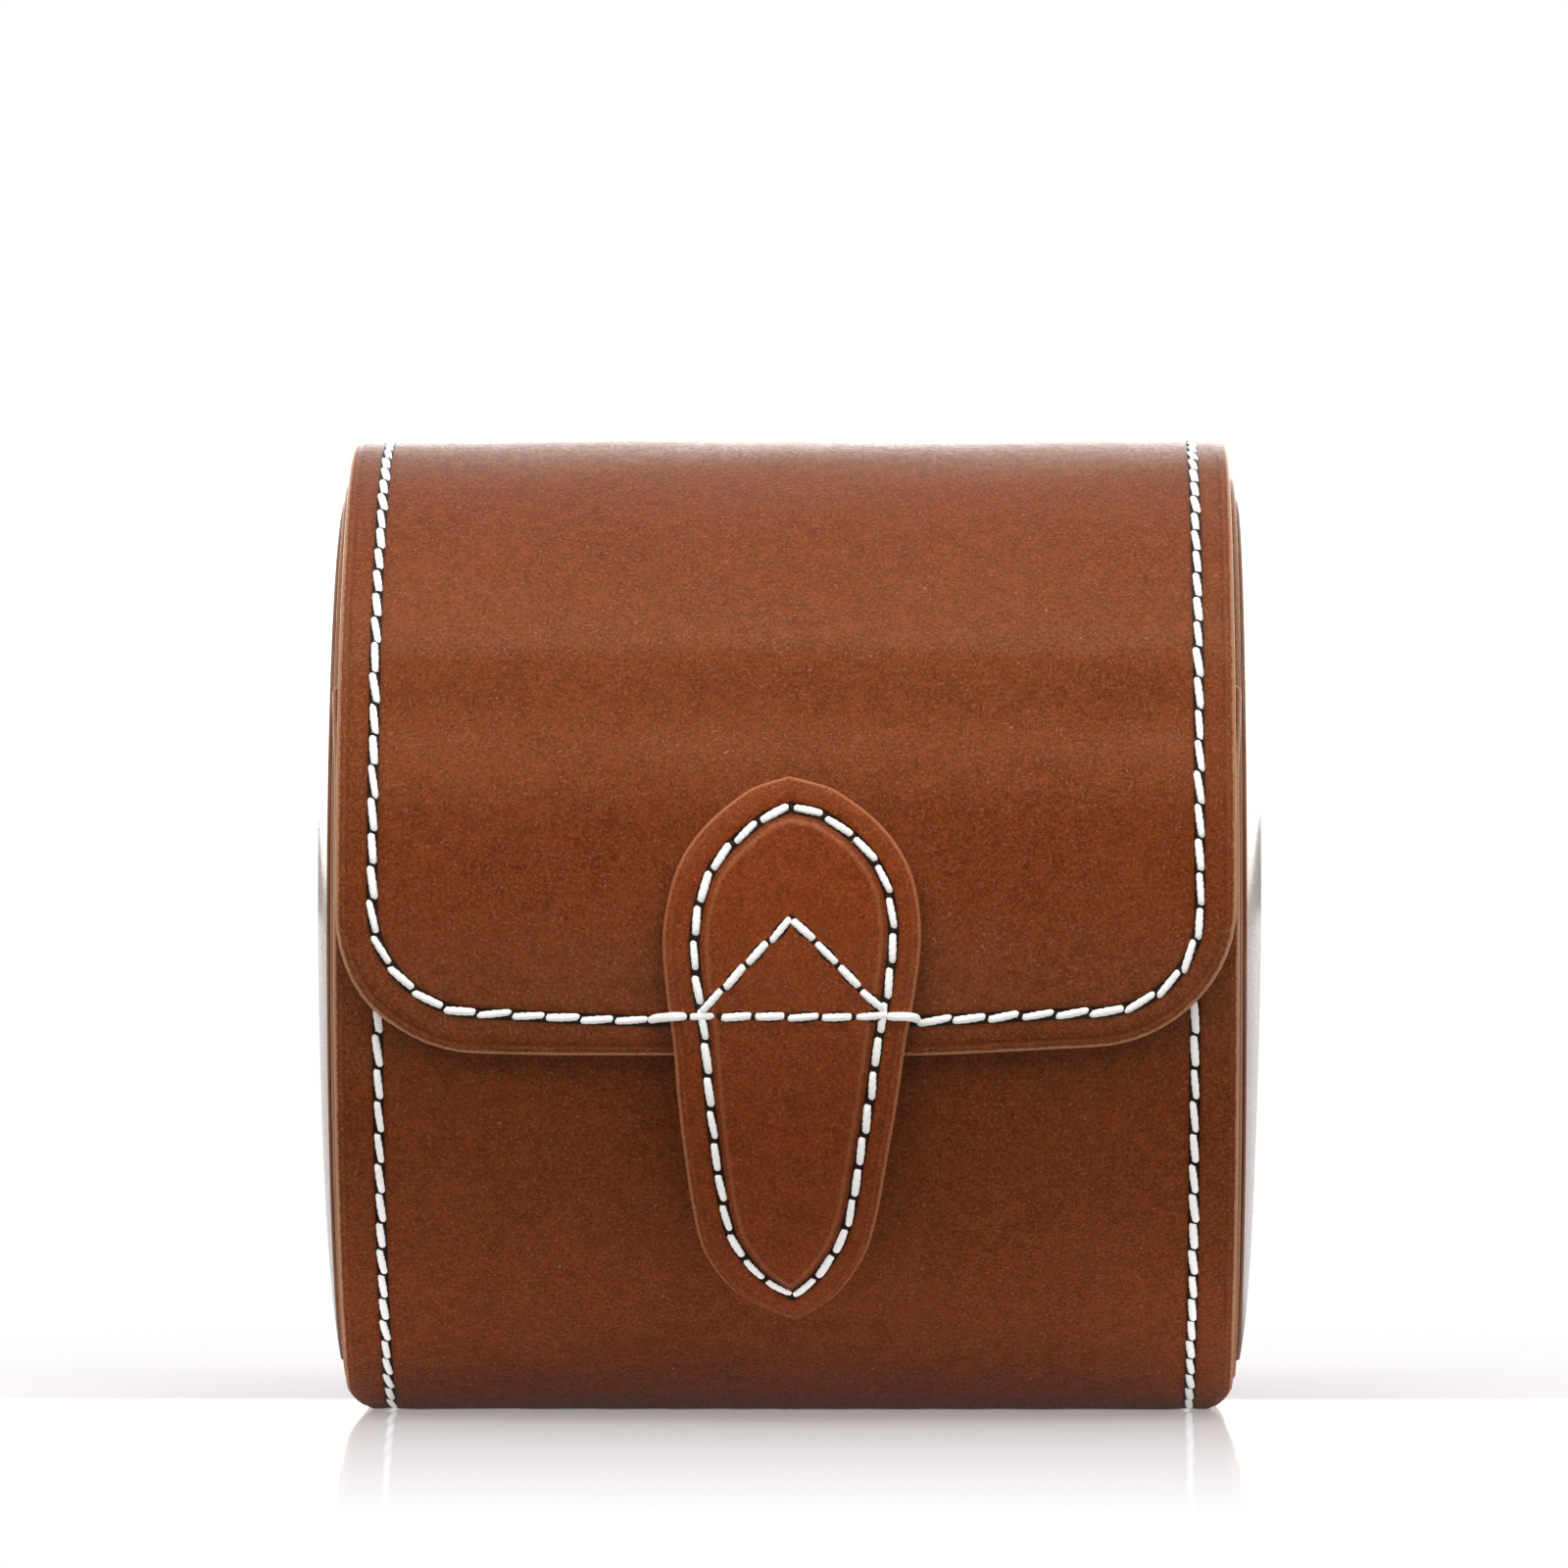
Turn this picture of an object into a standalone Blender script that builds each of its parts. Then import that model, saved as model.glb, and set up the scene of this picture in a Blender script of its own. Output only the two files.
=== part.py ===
"""A single watch roll in leather: a drum that lies on its side, with a flap and a closing tab.

Lengths are in metres and angles in radians. X runs along the drum, -Y is the front and Z is up.
The origin is the middle of the flat sole that the roll stands on. An angle round the drum is zero
at the front, a quarter turn at the top, and grows towards the back. A sheet's flat pattern is
drawn in X and in arc length, which is the angle times the wrap's radius.
"""
from math import atan2, ceil, cos, floor, hypot, pi, radians, sin

import bmesh
import bpy
from mathutils import Matrix, Vector

# Whole roll
overall_height = 0.0955
wrap_radius = 0.0480
wrap_half_width = 0.04325
wall_top_angle = radians(31)
hinge_angle = radians(139)
hinge_gap = 0.0004
layer_gap = 0.00015
seat_gap = 0.0003
crease_turn = radians(5)
weld_reach = 0.000002
cutter_overrun = 0.002
smooth_below = radians(35)

# Layers of the wrap, from the outside in
wrap_leather_thick = 0.0012
wrap_board_thick = 0.0005
wrap_lining_thick = 0.0006
edge_soften = 0.00035
board_inset = 0.0005
lining_inset = 0.0003

# Flap
flap_side_inset = 0.00055
flap_edge_angle = radians(-12.6)
flap_corner = 0.0134
flap_corner_steps = 6
flap_leather_thick = 0.0012
flap_board_thick = 0.0004
flap_lining_thick = 0.0005
flap_board_hinge_clear = 0.0040

# Tab
tab_offset = 0.0006
tab_top_angle = radians(16.8)
tab_tip_angle = radians(-44.8)
tab_half_width = 0.01225
tab_leather_thick = 0.0011
tab_core_thick = 0.0006
tab_backing_thick = 0.0006
tab_core_inset = 0.0022
tab_flex_below_edge = 0.0003
tab_tip_drop = 0.0010
tab_tip_turn = radians(9)
# Weights of the two nearest and the two farther knots midway along the tab's smooth outline
tab_near_share = 0.5625
tab_far_share = 0.0625
# Share of the tab's length from its upper point, and share of its half width there
tab_outline_shares = (
    (0.0, 0.0), (0.025, 0.36), (0.075, 0.64), (0.13, 0.84), (0.19, 0.95), (0.27, 1.0),
    (0.36, 0.965), (0.45, 0.90), (0.55, 0.85), (0.67, 0.775), (0.75, 0.72), (0.83, 0.635),
    (0.91, 0.44), (0.96, 0.23), (1.0, 0.0),
)

# Stitching
thread_radius = 0.00035
thread_hole_share = 0.55
thread_clear = 0.0001
stitch_pitch = 0.00325
flap_seam_inset = 0.0033
wrap_seam_inset = 0.00445
tab_seam_inset = 0.0029
tab_seam_tip_inset = 0.0032
seam_end_clear = 0.0015
seam_hinge_clear = 0.0050
seam_corner_steps = 4
wrap_seam_front_end = radians(-68)
wrap_seam_back_start = radians(-112)
chevron_apex_angle = radians(2.0)
chevron_foot_angle = radians(-5.6)
chevron_half_width = 0.0072

# Ends of the drum
end_rim_stand = 0.00015
end_board_thick = 0.00245
end_rim_thick = 0.0006
end_rim_lip = 0.0040
end_lining_thick = 0.00065
end_panel_margin = 0.0018
end_panel_height = 0.0026
end_panel_rise = 0.00135
end_panel_leather = 0.0010
end_panel_round = 0.0006
end_turn_steps = 60
# Shares of the radius at which a domed end has its rings, for the leather and for the padding
end_panel_shares = (0.0, 0.35, 0.6, 0.8, 0.93)
end_padding_shares = (0.0, 0.4, 0.7, 1.0)

# Snap fastener behind the tab
snap_angle = radians(-28)
socket_radius = 0.0060
socket_height = 0.0012
socket_bore_radius = 0.0027
socket_bore_depth = 0.0009
shank_radius = 0.0018
shank_clear = 0.0004
washer_radius = 0.0045
washer_thick = 0.0003
washer_clear = 0.0005
washer_seat = 0.0003
stud_flange_radius = 0.0050
stud_flange_thick = 0.0005
stud_pin_radius = 0.0021
stud_pin_clear = 0.0002
snap_turn_steps = 24

# Cushion
cushion_room = 0.0144
cushion_end_room = 0.0019
cushion_crown = 0.0016
cushion_shoulder = 0.0045
cushion_cover_thick = 0.0010
cushion_mouth_draw = 0.0075
cushion_end_recess = 0.0012
cushion_end_rise = 0.0008
cushion_end_thick = 0.0012
cushion_turn_steps = 40
shoulder_steps = 5
# Shares of the half length at which the cushion's face has its rings, and of an end disc's ring
cushion_face_shares = (0.0, 0.4, 0.75, 1.0)
cushion_disc_share = 0.6

# Finishes: colour, roughness, metallic
tan_leather = ((0.200, 0.066, 0.025), 0.42, 0.0)
dark_leather = ((0.110, 0.034, 0.014), 0.50, 0.0)
white_thread = ((0.860, 0.850, 0.800), 0.60, 0.0)
brown_suede = ((0.160, 0.075, 0.040), 0.95, 0.0)
grey_board = ((0.300, 0.280, 0.250), 0.90, 0.0)
pale_foam = ((0.700, 0.660, 0.560), 0.95, 0.0)
nickel = ((0.620, 0.600, 0.560), 0.28, 1.0)

# Sizes that follow from the ones above
flap_stack = flap_leather_thick + flap_board_thick + flap_lining_thick + 2 * layer_gap
flap_lap = flap_stack + seat_gap
wrap_stack = wrap_leather_thick + wrap_board_thick + wrap_lining_thick + 2 * layer_gap
thread_stand = thread_clear + 2 * thread_radius
top_angle = pi / 2
wrap_end_angle = hinge_angle - 2 * pi
end_rim_radius = wrap_radius - wrap_stack - seat_gap
end_rim_outer = wrap_half_width + end_rim_stand
end_board_outer = end_rim_outer - end_rim_thick - layer_gap
end_board_inner = end_board_outer - end_board_thick
end_lining_outer = end_board_inner - layer_gap
end_lining_inner = end_lining_outer - end_lining_thick
end_panel_inner = end_rim_outer + seat_gap
end_panel_radius = end_rim_radius - end_panel_margin
flap_half_width = wrap_half_width - flap_side_inset
tab_flex_angle = flap_edge_angle - tab_flex_below_edge / wrap_radius
tab_tip_curl_angle = tab_tip_angle + tab_tip_turn
tab_stack = tab_backing_thick + tab_core_thick + tab_leather_thick + 2 * layer_gap
socket_base = wrap_radius + seat_gap
socket_top = socket_base + socket_height
cushion_radius = wrap_radius - wrap_stack - cushion_room
cushion_mouth_radius = cushion_radius - cushion_mouth_draw
cushion_half_length = end_lining_inner - cushion_end_room


def flap_climb(angle):
    """How far the flap has climbed from the back, at 0, on to the front wall, at 1."""
    reach = cos(wall_top_angle) - cos(hinge_angle)
    return min(1, (cos(angle) - cos(hinge_angle)) / reach) ** 2


def flap_face(angle):
    """Radius of the flap's outer face."""
    return wrap_radius + flap_lap * flap_climb(angle)


axis_height = overall_height - thread_stand - flap_face(top_angle)
sole_drop = wrap_radius - axis_height


def tab_seat(angle):
    """Radius of the tab's back, which bears on the flap and curls in at its lower tip."""
    radius = flap_face(max(angle, flap_edge_angle)) + seat_gap
    curl = max(0, tab_tip_curl_angle - angle) / tab_tip_turn
    return radius - tab_tip_drop * curl ** 2


def settled(angle, radius):
    """Radius of a ring's point, drawn in where the ring stands flat on the sole."""
    down = -sin(angle) * radius
    sole = radius - sole_drop
    return radius * sole / down if down > sole else radius


def place(x, angle, radius):
    """The point of the drum at this X, angle and radius."""
    reach = settled(angle, radius)
    return Vector((x, -reach * cos(angle), axis_height + reach * sin(angle)))


def painted(name, finish):
    """A material of its own for each piece."""
    colour, roughness, metallic = finish
    material = bpy.data.materials.new(name + "_finish")
    material.use_nodes = True
    shader = material.node_tree.nodes["Principled BSDF"]
    shader.inputs["Base Color"].default_value = (*colour, 1)
    shader.inputs["Roughness"].default_value = roughness
    shader.inputs["Metallic"].default_value = metallic
    return material


def add_piece(name, data, finish):
    """Puts a mesh or curve into the roll's collection as a named piece."""
    piece = bpy.data.objects.new(name, data)
    data.materials.append(painted(name, finish))
    bpy.data.collections["watch_roll"].objects.link(piece)
    return piece


def mesh_piece(name, shape, finish, smooth=False):
    """Turns a finished bmesh into a piece."""
    data = bpy.data.meshes.new(name)
    shape.to_mesh(data)
    shape.free()
    if smooth:
        data.shade_smooth()
        data.set_sharp_from_angle(angle=smooth_below)
    return add_piece(name, data, finish)


def bent_sheet(name, outline, seat, thick, finish, soften=0):
    """A sheet cut flat to its outline, given its thickness, creased at even turns and bent."""
    sheet = bmesh.new()
    pattern = sheet.faces.new([sheet.verts.new((x, arc, 0)) for x, arc in outline])
    grown = bmesh.ops.extrude_face_region(sheet, geom=[pattern])["geom"]
    raised = [item for item in grown if isinstance(item, bmesh.types.BMVert)]
    bmesh.ops.translate(sheet, vec=(0, 0, thick), verts=raised)
    if soften:
        rim = [edge for edge in sheet.edges if all(vert in raised for vert in edge.verts)]
        bmesh.ops.bevel(sheet, geom=rim, offset=soften, segments=1, affect="EDGES")
    arcs = [arc for x, arc in outline]
    crease = crease_turn * wrap_radius
    for count in range(ceil(min(arcs) / crease), floor(max(arcs) / crease) + 1):
        everything = sheet.verts[:] + sheet.edges[:] + sheet.faces[:]
        bmesh.ops.bisect_plane(sheet, geom=everything, dist=weld_reach,
                               plane_co=(0, count * crease, 0), plane_no=(0, 1, 0))
    for vert in sheet.verts:
        angle = vert.co.y / wrap_radius
        vert.co = place(vert.co.x, angle, seat(angle) + vert.co.z)
    return mesh_piece(name, sheet, finish)


def stitched_run(name, route, seat):
    """A seam's thread as one run, full at the middle of each stitch and narrow at each hole."""
    legs = list(zip(route, route[1:]))
    lengths = [hypot(b[0] - a[0], b[1] - a[1]) for a, b in legs]
    halves = 2 * max(1, round(sum(lengths) / stitch_pitch))
    points = []
    for count in range(halves + 1):
        along = sum(lengths) * count / halves
        leg = 0
        while leg < len(legs) - 1 and along > lengths[leg]:
            along -= lengths[leg]
            leg += 1
        start, end = legs[leg]
        share = min(1, along / lengths[leg])
        x = start[0] + (end[0] - start[0]) * share
        angle = (start[1] + (end[1] - start[1]) * share) / wrap_radius
        points.append(place(x, angle, seat(angle) + thread_clear + thread_radius))
    data = bpy.data.curves.new(name, "CURVE")
    data.dimensions = "3D"
    data.bevel_depth = thread_radius
    data.bevel_resolution = 0
    data.use_fill_caps = True
    spline = data.splines.new("POLY")
    spline.points.add(len(points) - 1)
    for count, (point, place_at) in enumerate(zip(spline.points, points)):
        point.co = (*place_at, 1)
        point.radius = 1 if count % 2 else thread_hole_share
    return add_piece(name, data, white_thread)


def spun(profile, steps):
    """A profile of X and radius spun about the X axis and closed."""
    shape = bmesh.new()
    verts = [shape.verts.new((x, -radius, 0)) for x, radius in profile]
    edges = [shape.edges.new(pair) for pair in zip(verts, verts[1:])]
    if profile[0][1] > 0:
        edges.append(shape.edges.new((verts[-1], verts[0])))
    bmesh.ops.spin(shape, geom=verts + edges, cent=(0, 0, 0), axis=(1, 0, 0), angle=2 * pi,
                   steps=steps, use_merge=True)
    bmesh.ops.remove_doubles(shape, verts=shape.verts, dist=weld_reach)
    return shape


def end_piece(name, profile, side, finish):
    """A round piece on one end of the drum, flattened at the bottom as the wrap is."""
    shape = spun([(side * x, radius) for x, radius in profile], end_turn_steps)
    rim = max(radius for x, radius in profile)
    for vert in shape.verts:
        x, y, z = vert.co
        drawn_in = settled(atan2(z, -y), rim) / rim
        vert.co = (x, y * drawn_in, axis_height + z * drawn_in)
    bmesh.ops.recalc_face_normals(shape, faces=shape.faces)
    return mesh_piece(name, shape, finish, smooth=True)


def snap_piece(name, profile):
    """A turned piece on the snap's axis, whose profile is in radius and distance from the drum's axis."""
    data = bpy.data.meshes.new(name)
    points = [(radius, 0, height) for radius, height in profile]
    lines = [(count, count + 1) for count in range(len(points) - 1)]
    if profile[0][0] > 0:
        lines.append((len(points) - 1, 0))
    data.from_pydata(points, lines, [])
    piece = add_piece(name, data, nickel)
    turn = piece.modifiers.new("turn", "SCREW")
    turn.steps = snap_turn_steps
    turn.render_steps = snap_turn_steps
    turn.use_merge_vertices = True
    turn.merge_threshold = weld_reach
    stand_on_snap_axis(piece)
    return piece


def stand_on_snap_axis(piece):
    """Stands a piece that was made along Z on the snap's axis."""
    piece.location = (tab_offset, 0, axis_height)
    piece.rotation_euler = (pi / 2 - snap_angle, 0, 0)


def cut_round_hole(piece, radius):
    """Cuts a round hole through a sheet on the snap's axis."""
    low = min(wrap_radius - wrap_stack, socket_base) - cutter_overrun
    high = tab_seat(snap_angle) + tab_stack + cutter_overrun
    bpy.ops.mesh.primitive_cylinder_add(vertices=snap_turn_steps, radius=radius, depth=high - low)
    cutter = bpy.context.object
    cutter.name = piece.name + "_hole"
    cutter.data.transform(Matrix.Translation((0, 0, (low + high) / 2)))
    stand_on_snap_axis(cutter)
    cutter.hide_render = True
    cutter.display_type = "WIRE"
    for collection in list(cutter.users_collection):
        collection.objects.unlink(cutter)
    bpy.data.collections["cutters"].objects.link(cutter)
    hole = piece.modifiers.new("hole", "BOOLEAN")
    hole.operation = "DIFFERENCE"
    hole.object = cutter


def add_joint_axis(name, position):
    """An empty on a joint's axis, which carries the pieces that move about it."""
    empty = bpy.data.objects.new(name, None)
    empty.location = position
    bpy.data.collections["watch_roll"].objects.link(empty)
    return empty


def carry(empty, pieces):
    """Parents pieces to a joint's empty where they lie."""
    for piece in pieces:
        piece.parent = empty
        piece.matrix_parent_inverse = Matrix.Translation(empty.location).inverted()


def wrap_outline(inset):
    """The wrap's pattern, from the front wall's upper edge down, under and up to the hinge."""
    half = wrap_half_width - inset
    top = wall_top_angle * wrap_radius - inset
    end = wrap_end_angle * wrap_radius + hinge_gap / 2
    return [(-half, end), (half, end), (half, top), (-half, top)]


def corner_points(centre, radius, start, end, steps):
    """Points on a round corner of a pattern."""
    turns = [start + (end - start) * count / steps for count in range(steps + 1)]
    return [(centre[0] + radius * cos(turn), centre[1] + radius * sin(turn)) for turn in turns]


def flap_outline(inset, hinge_clear=0):
    """The flap's pattern, from the hinge over the top to the round corners of its lower edge."""
    half = flap_half_width - inset
    bottom = flap_edge_angle * wrap_radius + inset
    top = hinge_angle * wrap_radius - hinge_gap / 2 - hinge_clear
    round_size = flap_corner - inset
    left = (round_size - half, bottom + round_size)
    right = (half - round_size, bottom + round_size)
    corners = corner_points(left, round_size, pi, 3 * pi / 2, flap_corner_steps)
    corners += corner_points(right, round_size, 3 * pi / 2, 2 * pi, flap_corner_steps)
    return corners + [(half, top), (-half, top)]


def tab_arc(share):
    """Arc length at a share of the tab's length from its upper point."""
    return (tab_top_angle + (tab_tip_angle - tab_top_angle) * share) * wrap_radius


def tab_half_outline(side_inset, tip_inset):
    """Half widths and arcs of the tab from its upper point to its lower, drawn in by the insets."""
    middle = tab_arc(0.5)
    slim = (tab_half_width - side_inset) / tab_half_width
    short = 1 - tip_inset / (tab_arc(0) - middle)
    knots = [Vector((width * tab_half_width * slim, middle + (tab_arc(share) - middle) * short))
             for share, width in tab_outline_shares]
    points = []
    for count in range(len(knots) - 1):
        before = knots[max(0, count - 1)]
        start, end = knots[count], knots[count + 1]
        after = knots[min(len(knots) - 1, count + 2)]
        points.append(start)
        points.append((start + end) * tab_near_share - (before + after) * tab_far_share)
    points.append(knots[-1])
    return [(max(0, point.x), point.y) for point in points]


def cut_half(points, low, high):
    """The stretch of a half outline between two arcs, with new points where it is cut."""
    kept = []
    for (width, arc), (next_width, next_arc) in zip(points, points[1:]):
        if low <= arc <= high:
            kept.append((width, arc))
        for limit in (high, low):
            if next_arc < limit < arc:
                share = (arc - limit) / (arc - next_arc)
                kept.append((width + (next_width - width) * share, limit))
    if low <= points[-1][1] <= high:
        kept.append(points[-1])
    return kept


def tab_outline(half):
    """The whole pattern of a tab piece from its right half, given from the top down."""
    right = [(tab_offset + width, arc) for width, arc in reversed(half)]
    left = [(tab_offset - width, arc) for width, arc in half if width > weld_reach]
    return right + left


def make_wrap():
    """The wrap's three layers, and the holes that the snap's socket goes through."""
    depth = wrap_radius - wrap_leather_thick
    leather = bent_sheet("wrap_leather", wrap_outline(0), lambda angle: depth,
                         wrap_leather_thick, tan_leather, edge_soften)
    cut_round_hole(leather, shank_radius + shank_clear)
    board_depth = depth - layer_gap - wrap_board_thick
    board = bent_sheet("wrap_board", wrap_outline(board_inset), lambda angle: board_depth,
                       wrap_board_thick, grey_board)
    cut_round_hole(board, washer_radius + washer_clear)
    lining_depth = board_depth - layer_gap - wrap_lining_thick
    bent_sheet("wrap_lining", wrap_outline(lining_inset), lambda angle: lining_depth,
               wrap_lining_thick, brown_suede)


def make_ends():
    """The board, rim, domed panel, padding and lining at each end."""
    board_radius = end_rim_radius - end_rim_thick - layer_gap
    lip_radius = end_rim_radius - end_rim_lip
    lip_inner = end_board_outer + layer_gap
    rim = [(end_board_inner, end_rim_radius), (end_rim_outer - edge_soften, end_rim_radius),
           (end_rim_outer, end_rim_radius - edge_soften), (end_rim_outer, lip_radius),
           (lip_inner, lip_radius), (lip_inner, end_rim_radius - end_rim_thick),
           (end_board_inner, end_rim_radius - end_rim_thick)]
    board = [(end_board_inner, 0), (end_board_inner, board_radius),
             (end_board_outer, board_radius), (end_board_outer, 0)]
    lining = [(end_lining_inner, 0), (end_lining_inner, board_radius),
              (end_lining_outer, board_radius), (end_lining_outer, 0)]
    for side, word in ((-1, "left"), (1, "right")):
        end_piece("end_board_" + word, board, side, grey_board)
        end_piece("end_rim_" + word, rim, side, dark_leather)
        end_piece("end_lining_" + word, lining, side, brown_suede)
        end_piece("end_panel_" + word, panel_profile(), side, dark_leather)
        end_piece("end_padding_" + word, padding_profile(), side, pale_foam)


def dome(radius, rim, crown):
    """X of a dome's face that falls from its crown by the panel's rise at its rim."""
    return crown - end_panel_rise * (radius / rim) ** 2


def panel_profile():
    """A domed leather dish, open towards the board."""
    crown = end_panel_inner + end_panel_height
    inner_rim = end_panel_radius - end_panel_leather
    flat_rim = end_panel_radius - end_panel_round
    outside = [(dome(flat_rim * share, end_panel_radius, crown), flat_rim * share)
               for share in (*end_panel_shares, 1.0)]
    edge = [(outside[-1][0] - end_panel_round, end_panel_radius),
            (end_panel_inner, end_panel_radius), (end_panel_inner, inner_rim)]
    inside = [(dome(inner_rim * share, end_panel_radius, crown - end_panel_leather),
               inner_rim * share) for share in (1.0, *reversed(end_panel_shares))]
    return outside + edge + inside


def padding_profile():
    """Foam that fills the domed panel."""
    crown = end_panel_inner + end_panel_height - end_panel_leather - layer_gap
    rim = end_panel_radius - end_panel_leather - layer_gap
    face = [(dome(rim * share, end_panel_radius, crown), rim * share)
            for share in end_padding_shares]
    return face + [(end_panel_inner, rim), (end_panel_inner, 0)]


def make_wrap_seams():
    """Stitching along both sides of the wrap, on the front below the flap and on the back."""
    x = wrap_half_width - wrap_seam_inset
    top = flap_edge_angle * wrap_radius - seam_end_clear
    front_end = wrap_seam_front_end * wrap_radius
    back_start = wrap_seam_back_start * wrap_radius
    back_end = wrap_end_angle * wrap_radius + seam_hinge_clear
    for side, word in ((-1, "left"), (1, "right")):
        for run, start, end in (("front", top, front_end), ("back", back_start, back_end)):
            stitched_run(f"wrap_thread_{run}_{word}", [(side * x, start), (side * x, end)],
                         lambda angle: wrap_radius)


def make_flap():
    """The flap's three layers and the stitching round it, up to the tab's sides."""
    pieces = []
    depth = flap_leather_thick
    for word, thick, inset, clear, finish, soften in (
        ("leather", flap_leather_thick, 0, 0, tan_leather, edge_soften),
        ("board", flap_board_thick, board_inset, flap_board_hinge_clear, grey_board, 0),
        ("lining", flap_lining_thick, lining_inset, 0, brown_suede, 0),
    ):
        if word != "leather":
            depth += layer_gap + thick
        layer_depth = depth
        pieces.append(bent_sheet("flap_" + word, flap_outline(inset, clear),
                                 lambda angle: flap_face(angle) - layer_depth,
                                 thick, finish, soften))
    side_x = flap_half_width - flap_seam_inset
    bottom = flap_edge_angle * wrap_radius + flap_seam_inset
    top = hinge_angle * wrap_radius - seam_hinge_clear
    round_size = flap_corner - flap_seam_inset
    centre = (side_x - round_size, bottom + round_size)
    corner = corner_points(centre, round_size, 0, -pi / 2, seam_corner_steps)
    for side, word in ((-1, "left"), (1, "right")):
        tab_side = tab_half_width + seam_end_clear + side * tab_offset
        run = [(side_x, top)] + corner + [(tab_side, bottom)]
        pieces.append(stitched_run("flap_thread_" + word, [(side * x, arc) for x, arc in run],
                                   flap_face))
    return pieces


def make_tab():
    """The tab's layers and stitching, above and below the line that it flexes at."""
    fixed, free = [], []
    flex = tab_flex_angle * wrap_radius
    above = (flex, tab_arc(0))
    below = (tab_arc(1), flex - seat_gap)
    height = 0
    for word, thick, inset, finish, soften in (
        ("backing", tab_backing_thick, lining_inset, brown_suede, 0),
        ("core", tab_core_thick, tab_core_inset, pale_foam, 0),
        ("leather", tab_leather_thick, 0, tan_leather, edge_soften),
    ):
        layer_height = height
        height += thick + layer_gap
        half = tab_half_outline(inset, inset)
        for part, span, group in (("fixed", above, fixed), ("free", below, free)):
            piece = bent_sheet(f"tab_{word}_{part}", tab_outline(cut_half(half, *span)),
                               lambda angle: tab_seat(angle) + layer_height, thick, finish, soften)
            group.append(piece)
            if part == "free" and word == "backing":
                cut_round_hole(piece, shank_radius + shank_clear)
            if part == "free" and word == "core":
                cut_round_hole(piece, washer_radius + washer_clear)
    seam = tab_half_outline(tab_seam_inset, tab_seam_tip_inset)
    arch = cut_half(seam, flex + seam_end_clear, tab_arc(0))
    point = cut_half(seam, tab_arc(1), flex - seat_gap - seam_end_clear)
    fixed.append(stitched_run("tab_thread_fixed", tab_route(arch, False), tab_face))
    free.append(stitched_run("tab_thread_free", tab_route(point, True), tab_face))
    foot = (chevron_half_width, chevron_foot_angle * wrap_radius)
    chevron = [(tab_offset - foot[0], foot[1]), (tab_offset, chevron_apex_angle * wrap_radius),
               (tab_offset + foot[0], foot[1])]
    fixed.append(stitched_run("tab_chevron_thread", chevron, tab_face))
    cross = flap_edge_angle * wrap_radius + flap_seam_inset
    fixed.append(stitched_run("tab_cross_thread", [(tab_offset - foot[0], cross),
                                                   (tab_offset + foot[0], cross)], tab_face))
    return fixed, free


def tab_face(angle):
    """Radius of the tab's outer face."""
    return tab_seat(angle) + tab_stack


def tab_route(half, pointed_down):
    """A seam that goes down one side of the tab and up the other, round its point."""
    ordered = half if pointed_down else half[::-1]
    there = [(tab_offset + width, arc) for width, arc in ordered]
    back = [(tab_offset - width, arc) for width, arc in reversed(ordered) if width > weld_reach]
    return there + back


def make_snap():
    """The socket on the front wall, the stud on the tab, and the washer behind each."""
    wall_inside = wrap_radius - wrap_leather_thick
    washer_top = wall_inside - washer_seat
    bore_floor = socket_top - socket_bore_depth
    rivet = washer_top - washer_thick - seat_gap / 2
    soft = edge_soften
    snap_piece("snap_socket", [
        (0, bore_floor), (socket_bore_radius, bore_floor), (socket_bore_radius, socket_top),
        (socket_radius - soft, socket_top), (socket_radius, socket_top - soft),
        (socket_radius, socket_base), (shank_radius, socket_base), (shank_radius, rivet),
        (0, rivet)])
    snap_piece("snap_socket_washer", ring_profile(washer_top - washer_thick, washer_top))
    flange_top = tab_seat(snap_angle) - seat_gap
    flange_base = flange_top - stud_flange_thick
    pin_end = bore_floor + seat_gap
    washer_base = tab_seat(snap_angle) + tab_backing_thick + layer_gap
    head = washer_base + washer_thick + seat_gap / 2
    stud = snap_piece("snap_stud", [
        (0, head), (shank_radius, head), (shank_radius, flange_top),
        (stud_flange_radius, flange_top), (stud_flange_radius, flange_base),
        (stud_pin_radius, flange_base), (stud_pin_radius, pin_end), (0, pin_end)])
    washer = snap_piece("snap_stud_washer", ring_profile(washer_base, washer_base + washer_thick))
    return [stud, washer]


def ring_profile(low, high):
    """A flat ring that the shank goes through."""
    bore = shank_radius + stud_pin_clear
    return [(washer_radius, high), (washer_radius, low), (bore, low), (bore, high)]


def cushion_face(half_length, radius, crown, shoulder):
    """Right half of the cushion's crowned face, from its middle round its shoulder."""
    flat_end = half_length - shoulder
    face = [(flat_end * share, radius - crown * share ** 2) for share in cushion_face_shares]
    centre = (flat_end, radius - crown - shoulder)
    return face[:-1] + corner_points(centre, shoulder, pi / 2, 0, shoulder_steps)


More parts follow.
